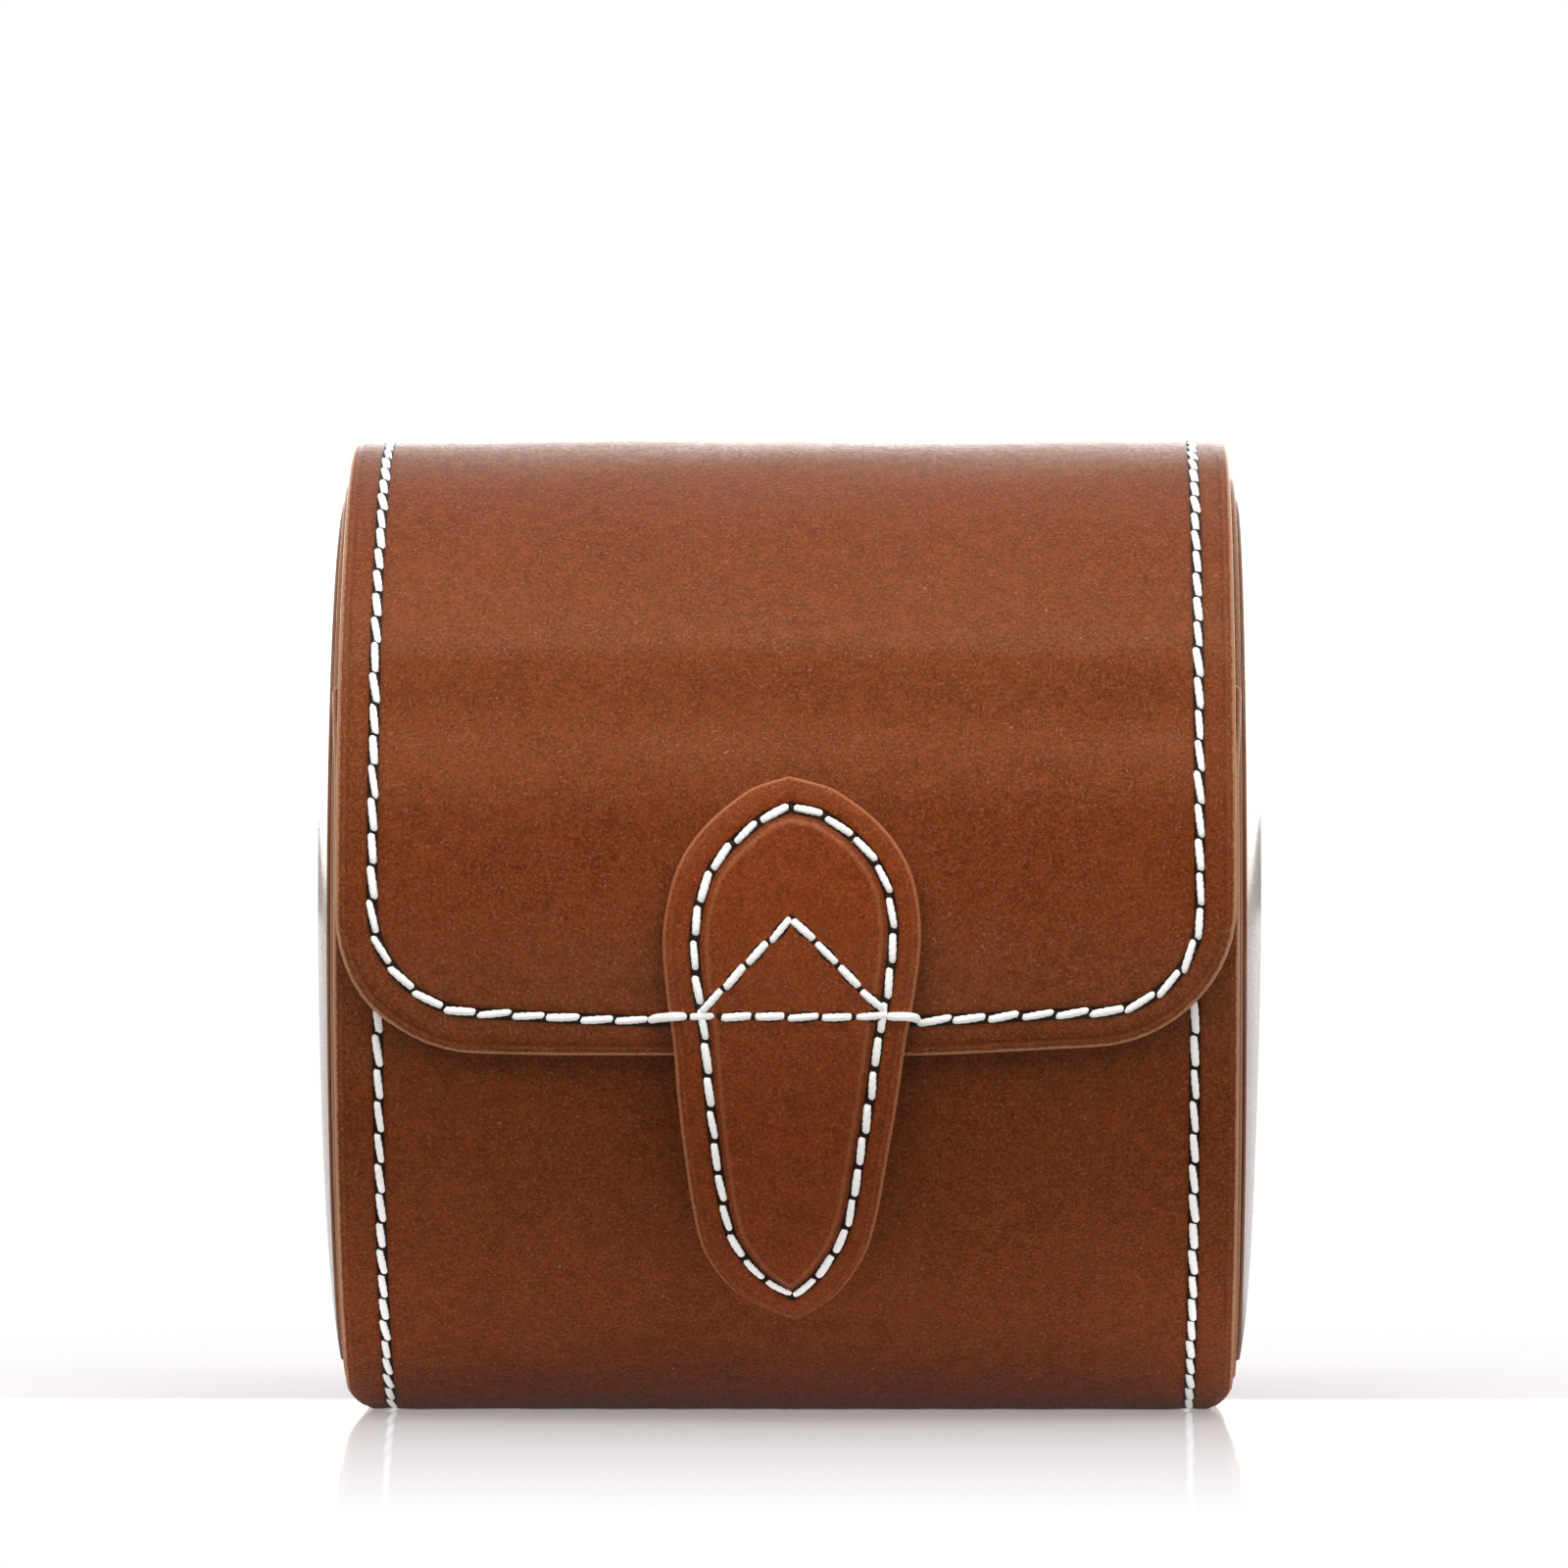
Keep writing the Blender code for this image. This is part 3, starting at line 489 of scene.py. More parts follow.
def leather_section(half, seam):
    """A cut hide's section: its face with a faint line by the edge, its rubbed edge, its back."""
    section, rubbed = [], (0.0004, 0.0017)
    for inset in sewn_insets(half, seam):
        height = float(dent(inset - CREASE_AT, CREASE_DEEP, CREASE_WIDE))
        height -= RUBBED_DOWN * float(1 - ease(inset, *rubbed))
        section.append((inset, height, inset, 1))
    for turn in np.linspace(radians(12), radians(90), 7):
        inset = HIDE_ROUND * (1 - sin(turn))
        section.append((inset, -RUBBED_DOWN - HIDE_ROUND * (1 - cos(turn)), inset, 1))
    soft = HIDE_BACK_ROUND
    section.append((0, -(LEATHER - soft + HIDE_ROUND + RUBBED_DOWN) / 2, 0, 0))
    for turn in np.linspace(0, radians(90), 4):
        section.append((soft * (1 - cos(turn)), -LEATHER + soft * (1 - sin(turn)), 0, 0))
    for inset in reversed(plain_insets(half)):
        section.append((inset, -LEATHER, inset, -1))
    return section


def layer_section(half, top, thick, inset, soft):
    """The section of a board or lining that lies under the leather."""
    section = [(ring, -top, ring, 1) for ring in plain_insets(half)]
    for turn in np.linspace(0, radians(90), 3):
        section.append((inset + soft * (1 - sin(turn)), -top - soft * (1 - cos(turn)), 0, 0))
    for turn in np.linspace(0, radians(90), 3):
        section.append((inset + soft * (1 - cos(turn)), -top - thick + soft * (1 - sin(turn)),
                        0, 0))
    section += [(ring, -top - thick, ring, -1) for ring in reversed(plain_insets(half))]
    return section


def on_sole(angle):
    """How near a point is to the flat sole, from 0 to 1."""
    off = np.minimum(np.abs(angle - SOLE), np.abs(angle - BACK_SOLE))
    return 1 - ease(off, *SOLE_FADE)


def hide_wave(x, angle):
    """How uneven leather bent and pressed by hand is: three waves, in radians a metre."""
    arc = angle * WRAP_RADIUS
    wave = (np.sin(arc * 210 + x * 37) * np.cos(x * 95 + 1.3)
            + 0.6 * np.sin(arc * 433 - x * 121 + 0.7) + 0.5 * np.sin(x * 287 + arc * 90))
    return -SOLE_SINK * on_sole(angle) + HIDE_WAVE * (1 - on_sole(angle)) * wave


def over_surface(x, angle):
    """Radius of the back and flap's real face, which swells over the wall's edge and below it."""
    swell = 0.0
    for middle, height, wide in FLAP_RIPPLES:
        swell = swell + height * np.exp(-((angle - radians(middle)) / radians(wide)) ** 2)
    lip = 1 - ease(np.abs(x), *RIPPLE_FADE_X)
    return over_face(angle) + hide_wave(x, angle) + swell * lip


def wall_surface(x, angle):
    """Radius of the front wall's real face, which is evener than the flap's and waves elsewhere."""
    share, aside = 0.5, 0.02
    return wall_face(angle) + share * hide_wave(x + aside, angle)


def over_relief(x, angle, side):
    """Height of the back and flap's face and how far inside its seam a point lies."""
    corner = np.where(x > 0, SEAM_CORNER_RIGHT, SEAM_CORNER_LEFT)
    past_x = np.abs(x) - (over_half(angle) - over_seam(angle) - corner)
    past_arc = (FLAP_EDGE - angle) * WRAP_RADIUS + FLAP_BOTTOM_SEAM + bottom_seam_rise(x) + corner
    seam = (corner - np.hypot(np.maximum(past_x, 0), np.maximum(past_arc, 0))
            - np.minimum(np.maximum(past_x, past_arc), 0))
    lift = over_surface(x, angle)
    if side > 0:
        lift = lift + dent(seam, SEAM_DEEP, SEAM_WIDE)
    return lift, seam


def wall_relief(x, angle, side):
    """Height of the front wall's face and how far inside its seams a point lies."""
    seam = WALL_SEAM_X - np.abs(x)
    lift = wall_surface(x, angle)
    if side > 0:
        lift = lift + dent(seam, SEAM_DEEP, SEAM_WIDE)
    return lift, seam


def plain_relief(surface):
    """A layer's face, which follows the leather's without its seam."""
    def relief(x, angle, side):
        return surface(x, angle), np.full(np.shape(x), FAR_OFF)
    return relief


# Each sheet's start, free edge, the radius of its corners, its half width and its seam's inset, and
# its points along a side, round a corner and along the free edge
OVER_SHEET = (BACK_SOLE, FLAP_EDGE, FLAP_CORNER, over_half, over_seam, 128, 12, 41)
WALL_SHEET = (SOLE, WALL_TOP, WALL_CORNER, wall_half, wall_seam, 64, 4, 41)


def make_shell(finishes):
    """The leather, board and lining of the back and flap, which bend, and of the front wall."""
    bend = {"start": tuple(place(0, BEND_START, WRAP_RADIUS)),
            "end": tuple(place(0, BEND_END, WRAP_RADIUS))}
    over = sheet_route(*OVER_SHEET)
    wall = sheet_route(*WALL_SHEET)
    wall_top = float(wall_half(np.array(WALL_TOP)))
    for word, route, half, seam, surface, relief, cut in (
        ("over", over, FLAP_HALF_WIDTH, FLAP_SEAM_INSET, over_surface, over_relief, flap_cut),
        ("wall", wall, wall_top, wall_top - WALL_SEAM_X, wall_surface, wall_relief, uncut),
    ):
        bends = word == "over"
        plain = plain_relief(surface)
        leather = piece_of(swept_sheet(f"{word}_leather", route, leather_section(half, seam),
                                       relief, cut),
                           finishes["hide"])
        top = LEATHER + LAYER_GAP
        section = layer_section(half, top, BOARD[word], BOARD_INSET, BOARD_CORNER)
        board = piece_of(swept_sheet(f"{word}_board", route, section, plain, cut),
                         finishes["board"])
        top = top + BOARD[word] + LAYER_GAP
        section = layer_section(half, top, LINING[word], LINING_INSET, LINING_CORNER)
        lining = piece_of(swept_sheet(f"{word}_lining", route, section, plain, cut),
                          finishes["suede"])
        for piece, layer in ((leather, "leather"), (board, "board"), (lining, "lining")):
            if bends:
                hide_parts(f"flap_{layer}", f"wrap_{layer}")
                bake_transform(piece, "roll", "flap", **bend)
            else:
                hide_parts(f"wrap_{layer}")
                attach(piece, "roll")
    return bend


# The tab

def tab_seat(angle):
    """Radius of the tab's back, which bears on the flap and curls in at its lower tip."""
    curl = np.clip((TAB_TIP + TAB_TIP_TURN - angle) / TAB_TIP_TURN, 0, None)
    return over_face(np.maximum(angle, FLAP_EDGE)) + SEAT_GAP - TAB_TIP_DROP * curl ** 2


def tab_knots():
    """Knots of the tab's sides: centre line X, half width and arc, from the upper point down."""
    knots = []
    for share, width, lean in TAB_OUTLINE:
        arc = (TAB_TOP + (TAB_TIP - TAB_TOP) * share) * WRAP_RADIUS
        knots.append((TAB_OFFSET + lean * TAB_HALF_WIDTH, width * TAB_HALF_WIDTH, arc))
    return np.array(knots)


def smooth_line(knots, steps):
    """Evenly spaced points along a smooth line through its knots."""
    ends = np.vstack([knots[:1], knots, knots[-1:]])
    fine = []
    for count in range(len(knots) - 1):
        a, b, c, d = ends[count:count + 4]
        for t in np.linspace(0, 1, 16, endpoint=False):
            fine.append(0.5 * (2 * b + (c - a) * t + (2 * a - 5 * b + 4 * c - d) * t ** 2
                               + (3 * b - a - 3 * c + d) * t ** 3))
    fine.append(knots[-1])
    fine = np.array(fine)
    run = np.concatenate([[0], np.cumsum(np.linalg.norm(np.diff(fine, axis=0), axis=1))])
    even = np.linspace(0, run[-1], steps)
    return np.stack([np.interp(even, run, fine[:, axis]) for axis in range(fine.shape[1])], axis=1)


# Points on each side of the tab's rings and of its close outline, and along each ray inwards
TAB_SIDE_STEPS, TAB_EDGE_STEPS, RAY_STEPS = 90, 1200, 61


def tab_side(side, steps=TAB_SIDE_STEPS):
    """One side of the tab's pattern from its upper point to its lower, as X and arc."""
    knots = tab_knots()
    line = np.stack([knots[:, 0] + side * knots[:, 1], knots[:, 2]], axis=1)
    return smooth_line(line, steps)


def tab_centre(arc):
    """X of the tab's centre line at an arc."""
    knots = tab_knots()[::-1]
    return np.interp(arc, knots[:, 2], knots[:, 0])


def tab_edge():
    """Close points all round the tab's edge."""
    return np.vstack([tab_side(side, TAB_EDGE_STEPS) for side in (-1, 1)])


def tab_away(spots, edge):
    """How far pattern points lie from the tab's edge, which is taken in parts to spare memory."""
    away = np.full(len(spots), 1.0)
    for part in np.array_split(edge, 24):
        apart = np.linalg.norm(spots[:, None, :] - part[None, :, :], axis=2)
        away = np.minimum(away, apart.min(axis=1))
    return away


def tab_seam_at(x, arc):
    """How far in from the tab's edge its seam runs, which differs by side and by the lower tip."""
    middle, tip = (-0.004, 0.004), (0.004, 0.014)
    to_right = ease(x - tab_centre(arc), *middle)
    low = 1 - ease(arc - TAB_TIP * WRAP_RADIUS, *tip)
    return TAB_SEAM_LEFT + (TAB_SEAM_RIGHT - TAB_SEAM_LEFT) * to_right + TAB_SEAM_TIP * low


def tab_rays():
    """Lines from the tab's outline in to its spine, and how far from the edge their points lie."""
    right, left = tab_side(1), tab_side(-1)
    arc = np.clip((right[:, 1] + left[:, 1]) / 2, TAB_TIP * WRAP_RADIUS + SPINE_ABOVE_TIP,
                  TAB_TOP * WRAP_RADIUS - SPINE_BELOW_TOP)
    spine = np.stack([tab_centre(arc), arc], axis=1)
    starts = np.vstack([right, left[-2:0:-1]])
    ends = np.vstack([spine, spine[-2:0:-1]])
    shares = np.linspace(0, 1, RAY_STEPS)
    spots = starts[:, None, :] + (ends - starts)[:, None, :] * shares[None, :, None]
    away = tab_away(spots.reshape(-1, 2), tab_edge()).reshape(len(starts), RAY_STEPS)
    away[:, 0] = 0
    away = np.maximum.accumulate(away + 1e-9 * np.arange(RAY_STEPS), axis=1)
    return starts, ends, shares, away


def tab_ring(rays, inset, further=0.0):
    """A closed ring of the tab's pattern this far in from its edge, or further on to its spine."""
    starts, ends, shares, away = rays
    inset = np.broadcast_to(inset, len(starts))
    share = np.array([np.interp(goal, line, shares) for goal, line in zip(inset, away)])
    share = share + (1 - share) * further
    return starts + (ends - starts) * share[:, None]


def tab_height(away, seam_at):
    """Height of the tab's face this far from its edge, with its seam this far in."""
    inside = away - seam_at
    step, swell, rubbed = (0.0005, 0.0016), (0.0014, 0.0070), (0.0004, 0.0019)
    height = TAB_STACK - TAB_BORDER_SUNK + TAB_BORDER_SUNK * ease(inside, *step)
    height = height + TAB_PAD_SWELL * ease(inside, *swell)
    height = (height + dent(inside, TAB_GROOVE_DEEP, TAB_GROOVE_WIDE)
              + dent(away - CREASE_AT, CREASE_DEEP, CREASE_WIDE))
    return height - TAB_RUBBED_DOWN * (1 - ease(away, *rubbed))


TAB_FACE_INSETS = (0.0036, 0.0034, 0.0032, 0.0030, 0.0028, 0.0026, 0.0024, 0.0022, 0.0020, 0.0018,
                   0.0016, 0.0014, 0.0012, 0.00105, 0.0009, 0.0007)
TAB_FACE_SHARES = (1.0, 0.8, 0.6, 0.45, 0.32, 0.24, 0.18, 0.13, 0.09, 0.05, 0.02)


def tab_leather_rows(rays):
    """Rows of the tab's leather, from the middle of its face round its edge and over its back."""
    edge = tab_edge()
    rings = [tab_ring(rays, TAB_FACE_INSETS[0], share) for share in TAB_FACE_SHARES]
    rings += [tab_ring(rays, inset) for inset in TAB_FACE_INSETS]
    rows = []
    for ring in rings:
        away = tab_away(ring, edge)
        rows.append((ring, tab_height(away, tab_seam_at(*ring.T)), away, True))
    edge_top = rows[-1][1]
    for turn in np.linspace(radians(15), radians(90), 6):
        inset = TAB_ROUND * (1 - sin(turn))
        rows.append((tab_ring(rays, inset), edge_top - TAB_ROUND * (1 - cos(turn)), inset, True))
    base = TAB_BACKING + LAYER_GAP / 2
    for inset, height in ((0.0, (edge_top - TAB_ROUND + base) / 2), (0.0, base + TAB_BACK_ROUND),
                          (TAB_BACK_SOFT, base + TAB_BACK_SOFT), (TAB_BACK_ROUND, base)):
        rows.append((tab_ring(rays, inset), height, 0.0, False))
    return rows + [(tab_ring(rays, TAB_PLAIN_INSET, share), base, FAR_OFF, False)
                   for share in TAB_PLAIN_SHARES]


def tab_backing_rows(rays):
    """Rows of the tab's suede backing, from the middle of its top round to its underside."""
    top, foot = TAB_BACKING - TAB_BACKING_TOP_ROUND, TAB_BACKING_FOOT_ROUND
    rows = [(TAB_PLAIN_INSET, share, TAB_BACKING) for share in reversed(TAB_PLAIN_SHARES)]
    rows += [(TAB_BACKING_FACE, 0.0, TAB_BACKING), (TAB_BACKING_INSET, 0.0, top),
             (TAB_BACKING_INSET, 0.0, foot), (TAB_BACKING_FACE, 0.0, 0.0)]
    rows += [(TAB_PLAIN_INSET, share, 0.0) for share in TAB_PLAIN_SHARES]
    return [(tab_ring(rays, inset, share), height, 0.0, False) for inset, share, height in rows]


def make_tab(finishes):
    """The padded leather tab and the backing it is sewn to, which bend at the flap's edge."""
    flex = {"start": tuple(place(0, TAB_FLEX_START, TAB_BEND_RADIUS)),
            "end": tuple(place(0, TAB_FLEX_END, TAB_BEND_RADIUS))}
    rays = tab_rays()
    leather = tab_mesh("tab_padded_leather", tab_leather_rows(rays), finishes["tab_hide"])
    backing = tab_mesh("tab_suede_backing", tab_backing_rows(rays), finishes["suede"])
    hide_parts("tab_leather_fixed", "tab_leather_free", "tab_core_fixed", "tab_core_free")
    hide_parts("tab_backing_fixed", "tab_backing_free")
    for piece in (leather, backing):
        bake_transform(piece, "flap", "tab", **flex)
    return flex, rays


def tab_mesh(name, rows, finish):
    """A closed tab layer from rings of its pattern, heights above its seat and edge distances."""
    points, edge_mm, seam_mm = [], [], []
    for ring, height, away, sewn in rows:
        angle = ring[:, 1] / WRAP_RADIUS
        away = np.broadcast_to(away, len(ring))
        points.append(place(ring[:, 0], angle, tab_seat(angle) + height))
        edge_mm.append(np.minimum(away, FAR_OFF) * TO_MM)
        seam_mm.append((away - tab_seam_at(*ring.T) if sewn else away * 0 + FAR_OFF) * TO_MM)
    faces = band_faces(len(rows), len(rows[0][0]), closed=True)
    data = mesh_of(name, np.concatenate(points), faces,
                   {"edge_mm": np.concatenate(edge_mm), "seam_mm": np.concatenate(seam_mm)})
    return piece_of(data, finish)


def tab_face(x, angle):
    """Radius of the tab's face."""
    spots = np.stack([np.ravel(x), np.ravel(angle * WRAP_RADIUS)], axis=1)
    height = tab_height(tab_away(spots, tab_edge()), tab_seam_at(*spots.T))
    return tab_seat(angle) + height.reshape(np.shape(x))


# Round pieces: the ends and the cushion

def turned(name, profile, steps, centre, flat_to=0.0, corner=None):
    """A profile of X and radius, turned about the X axis and closed at both ends, with a flat sole
    where the radius that it is flat to is given. Its edge marks are the distance to the corner
    named, or to its widest radius."""
    along = np.array([spot[0] for spot in profile])[:, None]
    radius = np.array([spot[1] for spot in profile])[:, None]
    turn = np.linspace(0, 2 * pi, steps, endpoint=False)[None, :]
    points = np.stack(np.broadcast_arrays(along, -radius * np.cos(turn), radius * np.sin(turn)),
                      axis=-1)
    if flat_to:
        down = -np.sin(turn) * flat_to
        sole = flat_to - SOLE_DROP
        drawn = np.where(down > sole, sole / np.maximum(down, MM), 1.0)[..., None]
        points = points * np.concatenate([np.ones_like(drawn), drawn, drawn], axis=-1)
    closed_ring = profile[0][1] > 0
    faces = band_faces(len(profile), steps, closed=True, row_closed=closed_ring)
    spots = points.reshape(-1, 3) + np.array(centre)
    rim = max(spot[1] for spot in profile)
    off = rim - radius[:, 0]
    if corner:
        off = np.hypot(along[:, 0] - corner[0], radius[:, 0] - corner[1])
    edge_mm = np.repeat(off * TO_MM, steps)
    seam_mm = np.full(len(edge_mm), FAR_OFF * TO_MM)
    return mesh_of(name, spots, faces, {"edge_mm": edge_mm, "seam_mm": seam_mm})


def round_corner(centre, radius, start, end, steps):
    """Points on a rounded corner of a profile."""
    return [(centre[0] + radius * cos(turn), centre[1] + radius * sin(turn))
            for turn in np.linspace(start, end, steps)]


def panel_face(radius):
    """X of an end panel's domed face, which falls away faster by its rim."""
    past = max(0, (radius - PANEL_RIM_START) / PANEL_RIM_WIDTH)
    return END_PANEL_CROWN - PANEL_CURVE * radius ** 2 - PANEL_RIM_FALL * past ** 3


def mirrored(side, profile):
    """A profile drawn for the right end, at the end that side names with -1 or 1."""
    return [(side * x, radius) for x, radius in profile]


def make_panel(side, word, finish):
    """An end's domed padded panel, whose dome stands out a little more in its upper half."""
    flat = END_PANEL_RADIUS - PANEL_SOFT
    rim_x = panel_face(flat)
    dome = [(panel_face(radius), radius) for radius in (*PANEL_RINGS, flat)]
    edge = round_corner((rim_x - PANEL_SOFT, flat), PANEL_SOFT, radians(12), radians(90), 5)
    behind = END_PANEL_INNER - PANEL_BACK_SUNK
    back = [(min(END_PANEL_INNER, rim_x - PANEL_SOFT - PANEL_LEAST), END_PANEL_RADIUS),
            (behind, flat), (behind, PANEL_BACK_RING), (behind, 0)]
    data = turned(f"end_pad_{word}", mirrored(side, dome + edge + back), END_STEPS,
                  (0, 0, AXIS_HEIGHT), flat_to=END_PANEL_RADIUS)
    for vert in data.vertices:
        up = vert.co.z - AXIS_HEIGHT
        off = (vert.co.y ** 2 + up ** 2) / END_PANEL_RADIUS ** 2
        if abs(vert.co.x) > rim_x - PANEL_FACE_DEPTH:
            vert.co.x += side * END_PANEL_LEAN * up * max(0, 1 - off)
    panel = piece_of(data, finish)
    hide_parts(f"end_panel_{word}", f"end_padding_{word}")
    return panel


def make_band(side, word, finish):
    """The leather band round an end's rim, with a lip that turns in behind the panel's edge."""
    outer, radius, lip = END_RIM_OUTER, END_RIM_RADIUS, END_RIM_RADIUS - END_LIP
    rim = [(END_BOARD_INNER, radius - RIM_SOFT), (END_BOARD_INNER + RIM_SOFT, radius)]
    rim += round_corner((outer - RIM_ROUND, radius - RIM_ROUND), RIM_ROUND, radians(90), 0, 6)
    rim += [(outer, radius - RIM_FLAT), (outer, lip + RIM_SOFT), (outer - RIM_SOFT, lip),
            (outer - RIM_WALL, lip), (outer - RIM_WALL, radius - RIM_WALL),
            (END_BOARD_INNER, radius - RIM_WALL)]
    corner = (side * (outer - RIM_CORNER_IN), radius - RIM_CORNER_IN)
    data = turned(f"end_band_{word}", mirrored(side, rim), END_STEPS, (0, 0, AXIS_HEIGHT),
                  flat_to=radius, corner=corner)
    band = piece_of(data, finish)
    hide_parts(f"end_rim_{word}")
    return band


def make_end_lining(side, word, finish):
    """The suede disc on an end board's inner face."""
    radius = END_LINING_RADIUS
    lining = [(END_LINING_OUTER, 0), (END_LINING_OUTER, radius),
              (END_LINING_INNER + RIM_SOFT, radius), (END_LINING_INNER, radius - RIM_SOFT)]
    lining += [(END_LINING_INNER, ring) for ring in END_LINING_RINGS]
    data = turned(f"end_suede_{word}", mirrored(side, lining), END_LINING_STEPS,
                  (0, 0, AXIS_HEIGHT), flat_to=radius)
    disc = piece_of(data, finish)
    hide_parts(f"end_lining_{word}")
    return disc


def make_ends(finishes):
    """The panel, the band and the lining at each end."""
    for side, word in ((-1, "left"), (1, "right")):
        for piece in (make_panel(side, word, finishes["end_hide"]),
                      make_band(side, word, finishes["band_hide"]),
                      make_end_lining(side, word, finishes["suede"])):
            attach(piece, "roll")


def slacken(pillow):
    """Gathers the cushion's suede at its mouths and lets it lie a little slack between them."""
    for vert in pillow.vertices:
        along, out, up = abs(vert.co.x), vert.co.y, vert.co.z - CUSHION_HEIGHT
        radius, turn = float(np.hypot(out, up)), float(np.arctan2(up, out))
        near_end = float(ease(along, *GATHER_X) * ease(radius, *GATHER_RADIUS))
        aside = RIGHT_GATHERS_TURN if vert.co.x > 0 else 0.0
        # 27 gathers round a mouth, and slower waves that make them uneven
        folds = sin(27 * turn + aside + 1.9 * sin(3 * turn + aside))
        folds = folds * (0.6 + 0.4 * sin(5 * turn + 2 * aside))
        body = float(1 - ease(along, *SLACK_X))
        slack = sin(2 * turn + 60 * vert.co.x + 0.6) + 0.6 * sin(3 * turn - 95 * vert.co.x)
        grow = GATHER * near_end * folds + body * (SLACK * slack - SLACK_IN)
        grow = grow / max(radius, LEAST_RADIUS)
        vert.co.y, vert.co.z = out * (1 + grow), CUSHION_HEIGHT + up * (1 + grow)


def make_cushion(finishes):
    """The suede cushion that a watch is strapped round, with its two end discs."""
    middle = (0, 0, CUSHION_HEIGHT)
    face = [(x, CUSHION_RADIUS - CUSHION_BARREL * (x / CUSHION_FACE_X) ** 2)
            for x in np.linspace(0, CUSHION_FACE_X, CUSHION_FACE_STEPS)]
    shoulder = round_corner((CUSHION_FACE_X, CUSHION_RADIUS - SHOULDER_DROP), SHOULDER,
                            SHOULDER_START, 0, SHOULDER_STEPS)
    roll = [(x, CUSHION_MOUTH + more) for x, more in MOUTH_ROLL] + [(MOUTH_ROLL[-1][0], 0)]
    half = face + shoulder + roll
    profile = mirrored(-1, reversed(half)) + half[1:]
    pillow = turned("cushion_pillow", profile, PILLOW_STEPS, middle)
    slacken(pillow)
    cover = piece_of(pillow, finishes["suede"])
    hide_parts("cushion_cover", "cushion_foam")
    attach(cover, "cushion")
    disc = [*CAP_FACE, *((x, CUSHION_MOUTH + more) for x, more in CAP_EDGE), (CAP_BACK, 0)]
    for side, word in ((-1, "left"), (1, "right")):
        data = turned(f"cushion_cap_{word}", mirrored(side, disc), CAP_STEPS, middle)
        cap = piece_of(data, finishes["suede"])
        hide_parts(f"cushion_end_{word}")
        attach(cap, "cushion")


# Stitches

def new_node(tree, kind, links=None, **settings):
    """A node with its settings and its sockets' values or links."""
    node = tree.nodes.new(kind)
    for word, value in settings.items():
        setattr(node, word, value)
    for socket, value in (links or {}).items():
        target = node.inputs[socket]
        if isinstance(value, bpy.types.NodeSocket):
            tree.links.new(value, target)
        else:
            target.default_value = value
    return node


def add(tree, kind, links=None, out=0, **settings):
    """The chosen output of a new node."""
    return new_node(tree, kind, links, **settings).outputs[out]


def reckon(tree, operation, *values):
    """The output of a Math node."""
    return add(tree, "ShaderNodeMath", dict(enumerate(values)), operation=operation)


def times(tree, first, second):
    """The product of two values."""
    return reckon(tree, "MULTIPLY", first, second)


def stretched(tree, x, y, z):
    """A vector made of three values."""
    return add(tree, "ShaderNodeCombineXYZ", {"X": x, "Y": y, "Z": z})


def parts_of(tree, vector):
    """The outputs X, Y and Z of a vector."""
    return new_node(tree, "ShaderNodeSeparateXYZ", {0: vector}).outputs


def set_on(tree, points, chosen, shape, facing, size, finish):
    """A smooth shape set on the chosen points, turned and sized, in its finish."""
    made = add(tree, "GeometryNodeInstanceOnPoints",
               {"Points": points, "Selection": chosen, "Instance": shape, "Rotation": facing,
                "Scale": size})
    made = add(tree, "GeometryNodeRealizeInstances", {"Geometry": made})
    made = add(tree, "GeometryNodeSetShadeSmooth", {"Geometry": made})
    return add(tree, "GeometryNodeSetMaterial", {"Geometry": made, "Material": finish})


def strand_of(tree, given, half):
    """One stitch's thread, which rises from its hole, lies on the leather and dives again."""
    line = add(tree, "GeometryNodeCurvePrimitiveLine", {"Start": (0, 0, 0), "End": (1, 0, 0)})
    line = add(tree, "GeometryNodeResampleCurve", {"Curve": line, "Count": STRAND_POINTS})
    share = add(tree, "GeometryNodeSplineParameter", out="Factor")
    swing = reckon(tree, "MULTIPLY_ADD", share, pi, -pi / 2)
    hump = reckon(tree, "MAXIMUM", reckon(tree, "COSINE", swing), 0.0)
    height = reckon(tree, "POWER", hump, HUMP_POWER)
    height = reckon(tree, "MULTIPLY_ADD", height, reckon(tree, "ADD", given["Rise"], given["Sink"]),
                    times(tree, given["Sink"], -1.0))
    spot = stretched(tree, times(tree, reckon(tree, "SINE", swing), half), 0.0, height)
    spine = add(tree, "GeometryNodeSetPosition", {"Geometry": line, "Position": spot})
    along = parts_of(tree, add(tree, "GeometryNodeInputPosition"))["X"]
    reach = reckon(tree, "DIVIDE", along, half)
    inward = reckon(tree, "SUBTRACT", 1.0, times(tree, reach, reach))
    plump = reckon(tree, "POWER", reckon(tree, "MAXIMUM", inward, END_LEAST), END_POWER)
    spine = add(tree, "GeometryNodeSetCurveRadius", {"Curve": spine, "Radius": plump})
    spine = add(tree, "GeometryNodeSetCurveTilt",
                {"Curve": spine, "Tilt": times(tree, reach, STRAND_TWIST)})
    ring = add(tree, "GeometryNodeCurvePrimitiveCircle",
               {"Resolution": THREAD_SIDES, "Radius": times(tree, given["Thread Width"], 0.5)})
    ring = add(tree, "GeometryNodeTransform",
               {"Geometry": ring, "Scale": (1.0, THREAD_FLATNESS, 1.0)})
    strand = add(tree, "GeometryNodeCurveToMesh",
                 {"Curve": spine, "Profile Curve": ring, "Fill Caps": True})
    return add(tree, "GeometryNodeStoreNamedAttribute",
               {"Geometry": strand, "Name": "thread_place",
                "Value": add(tree, "GeometryNodeInputPosition")},
               data_type="FLOAT_VECTOR", domain="POINT")


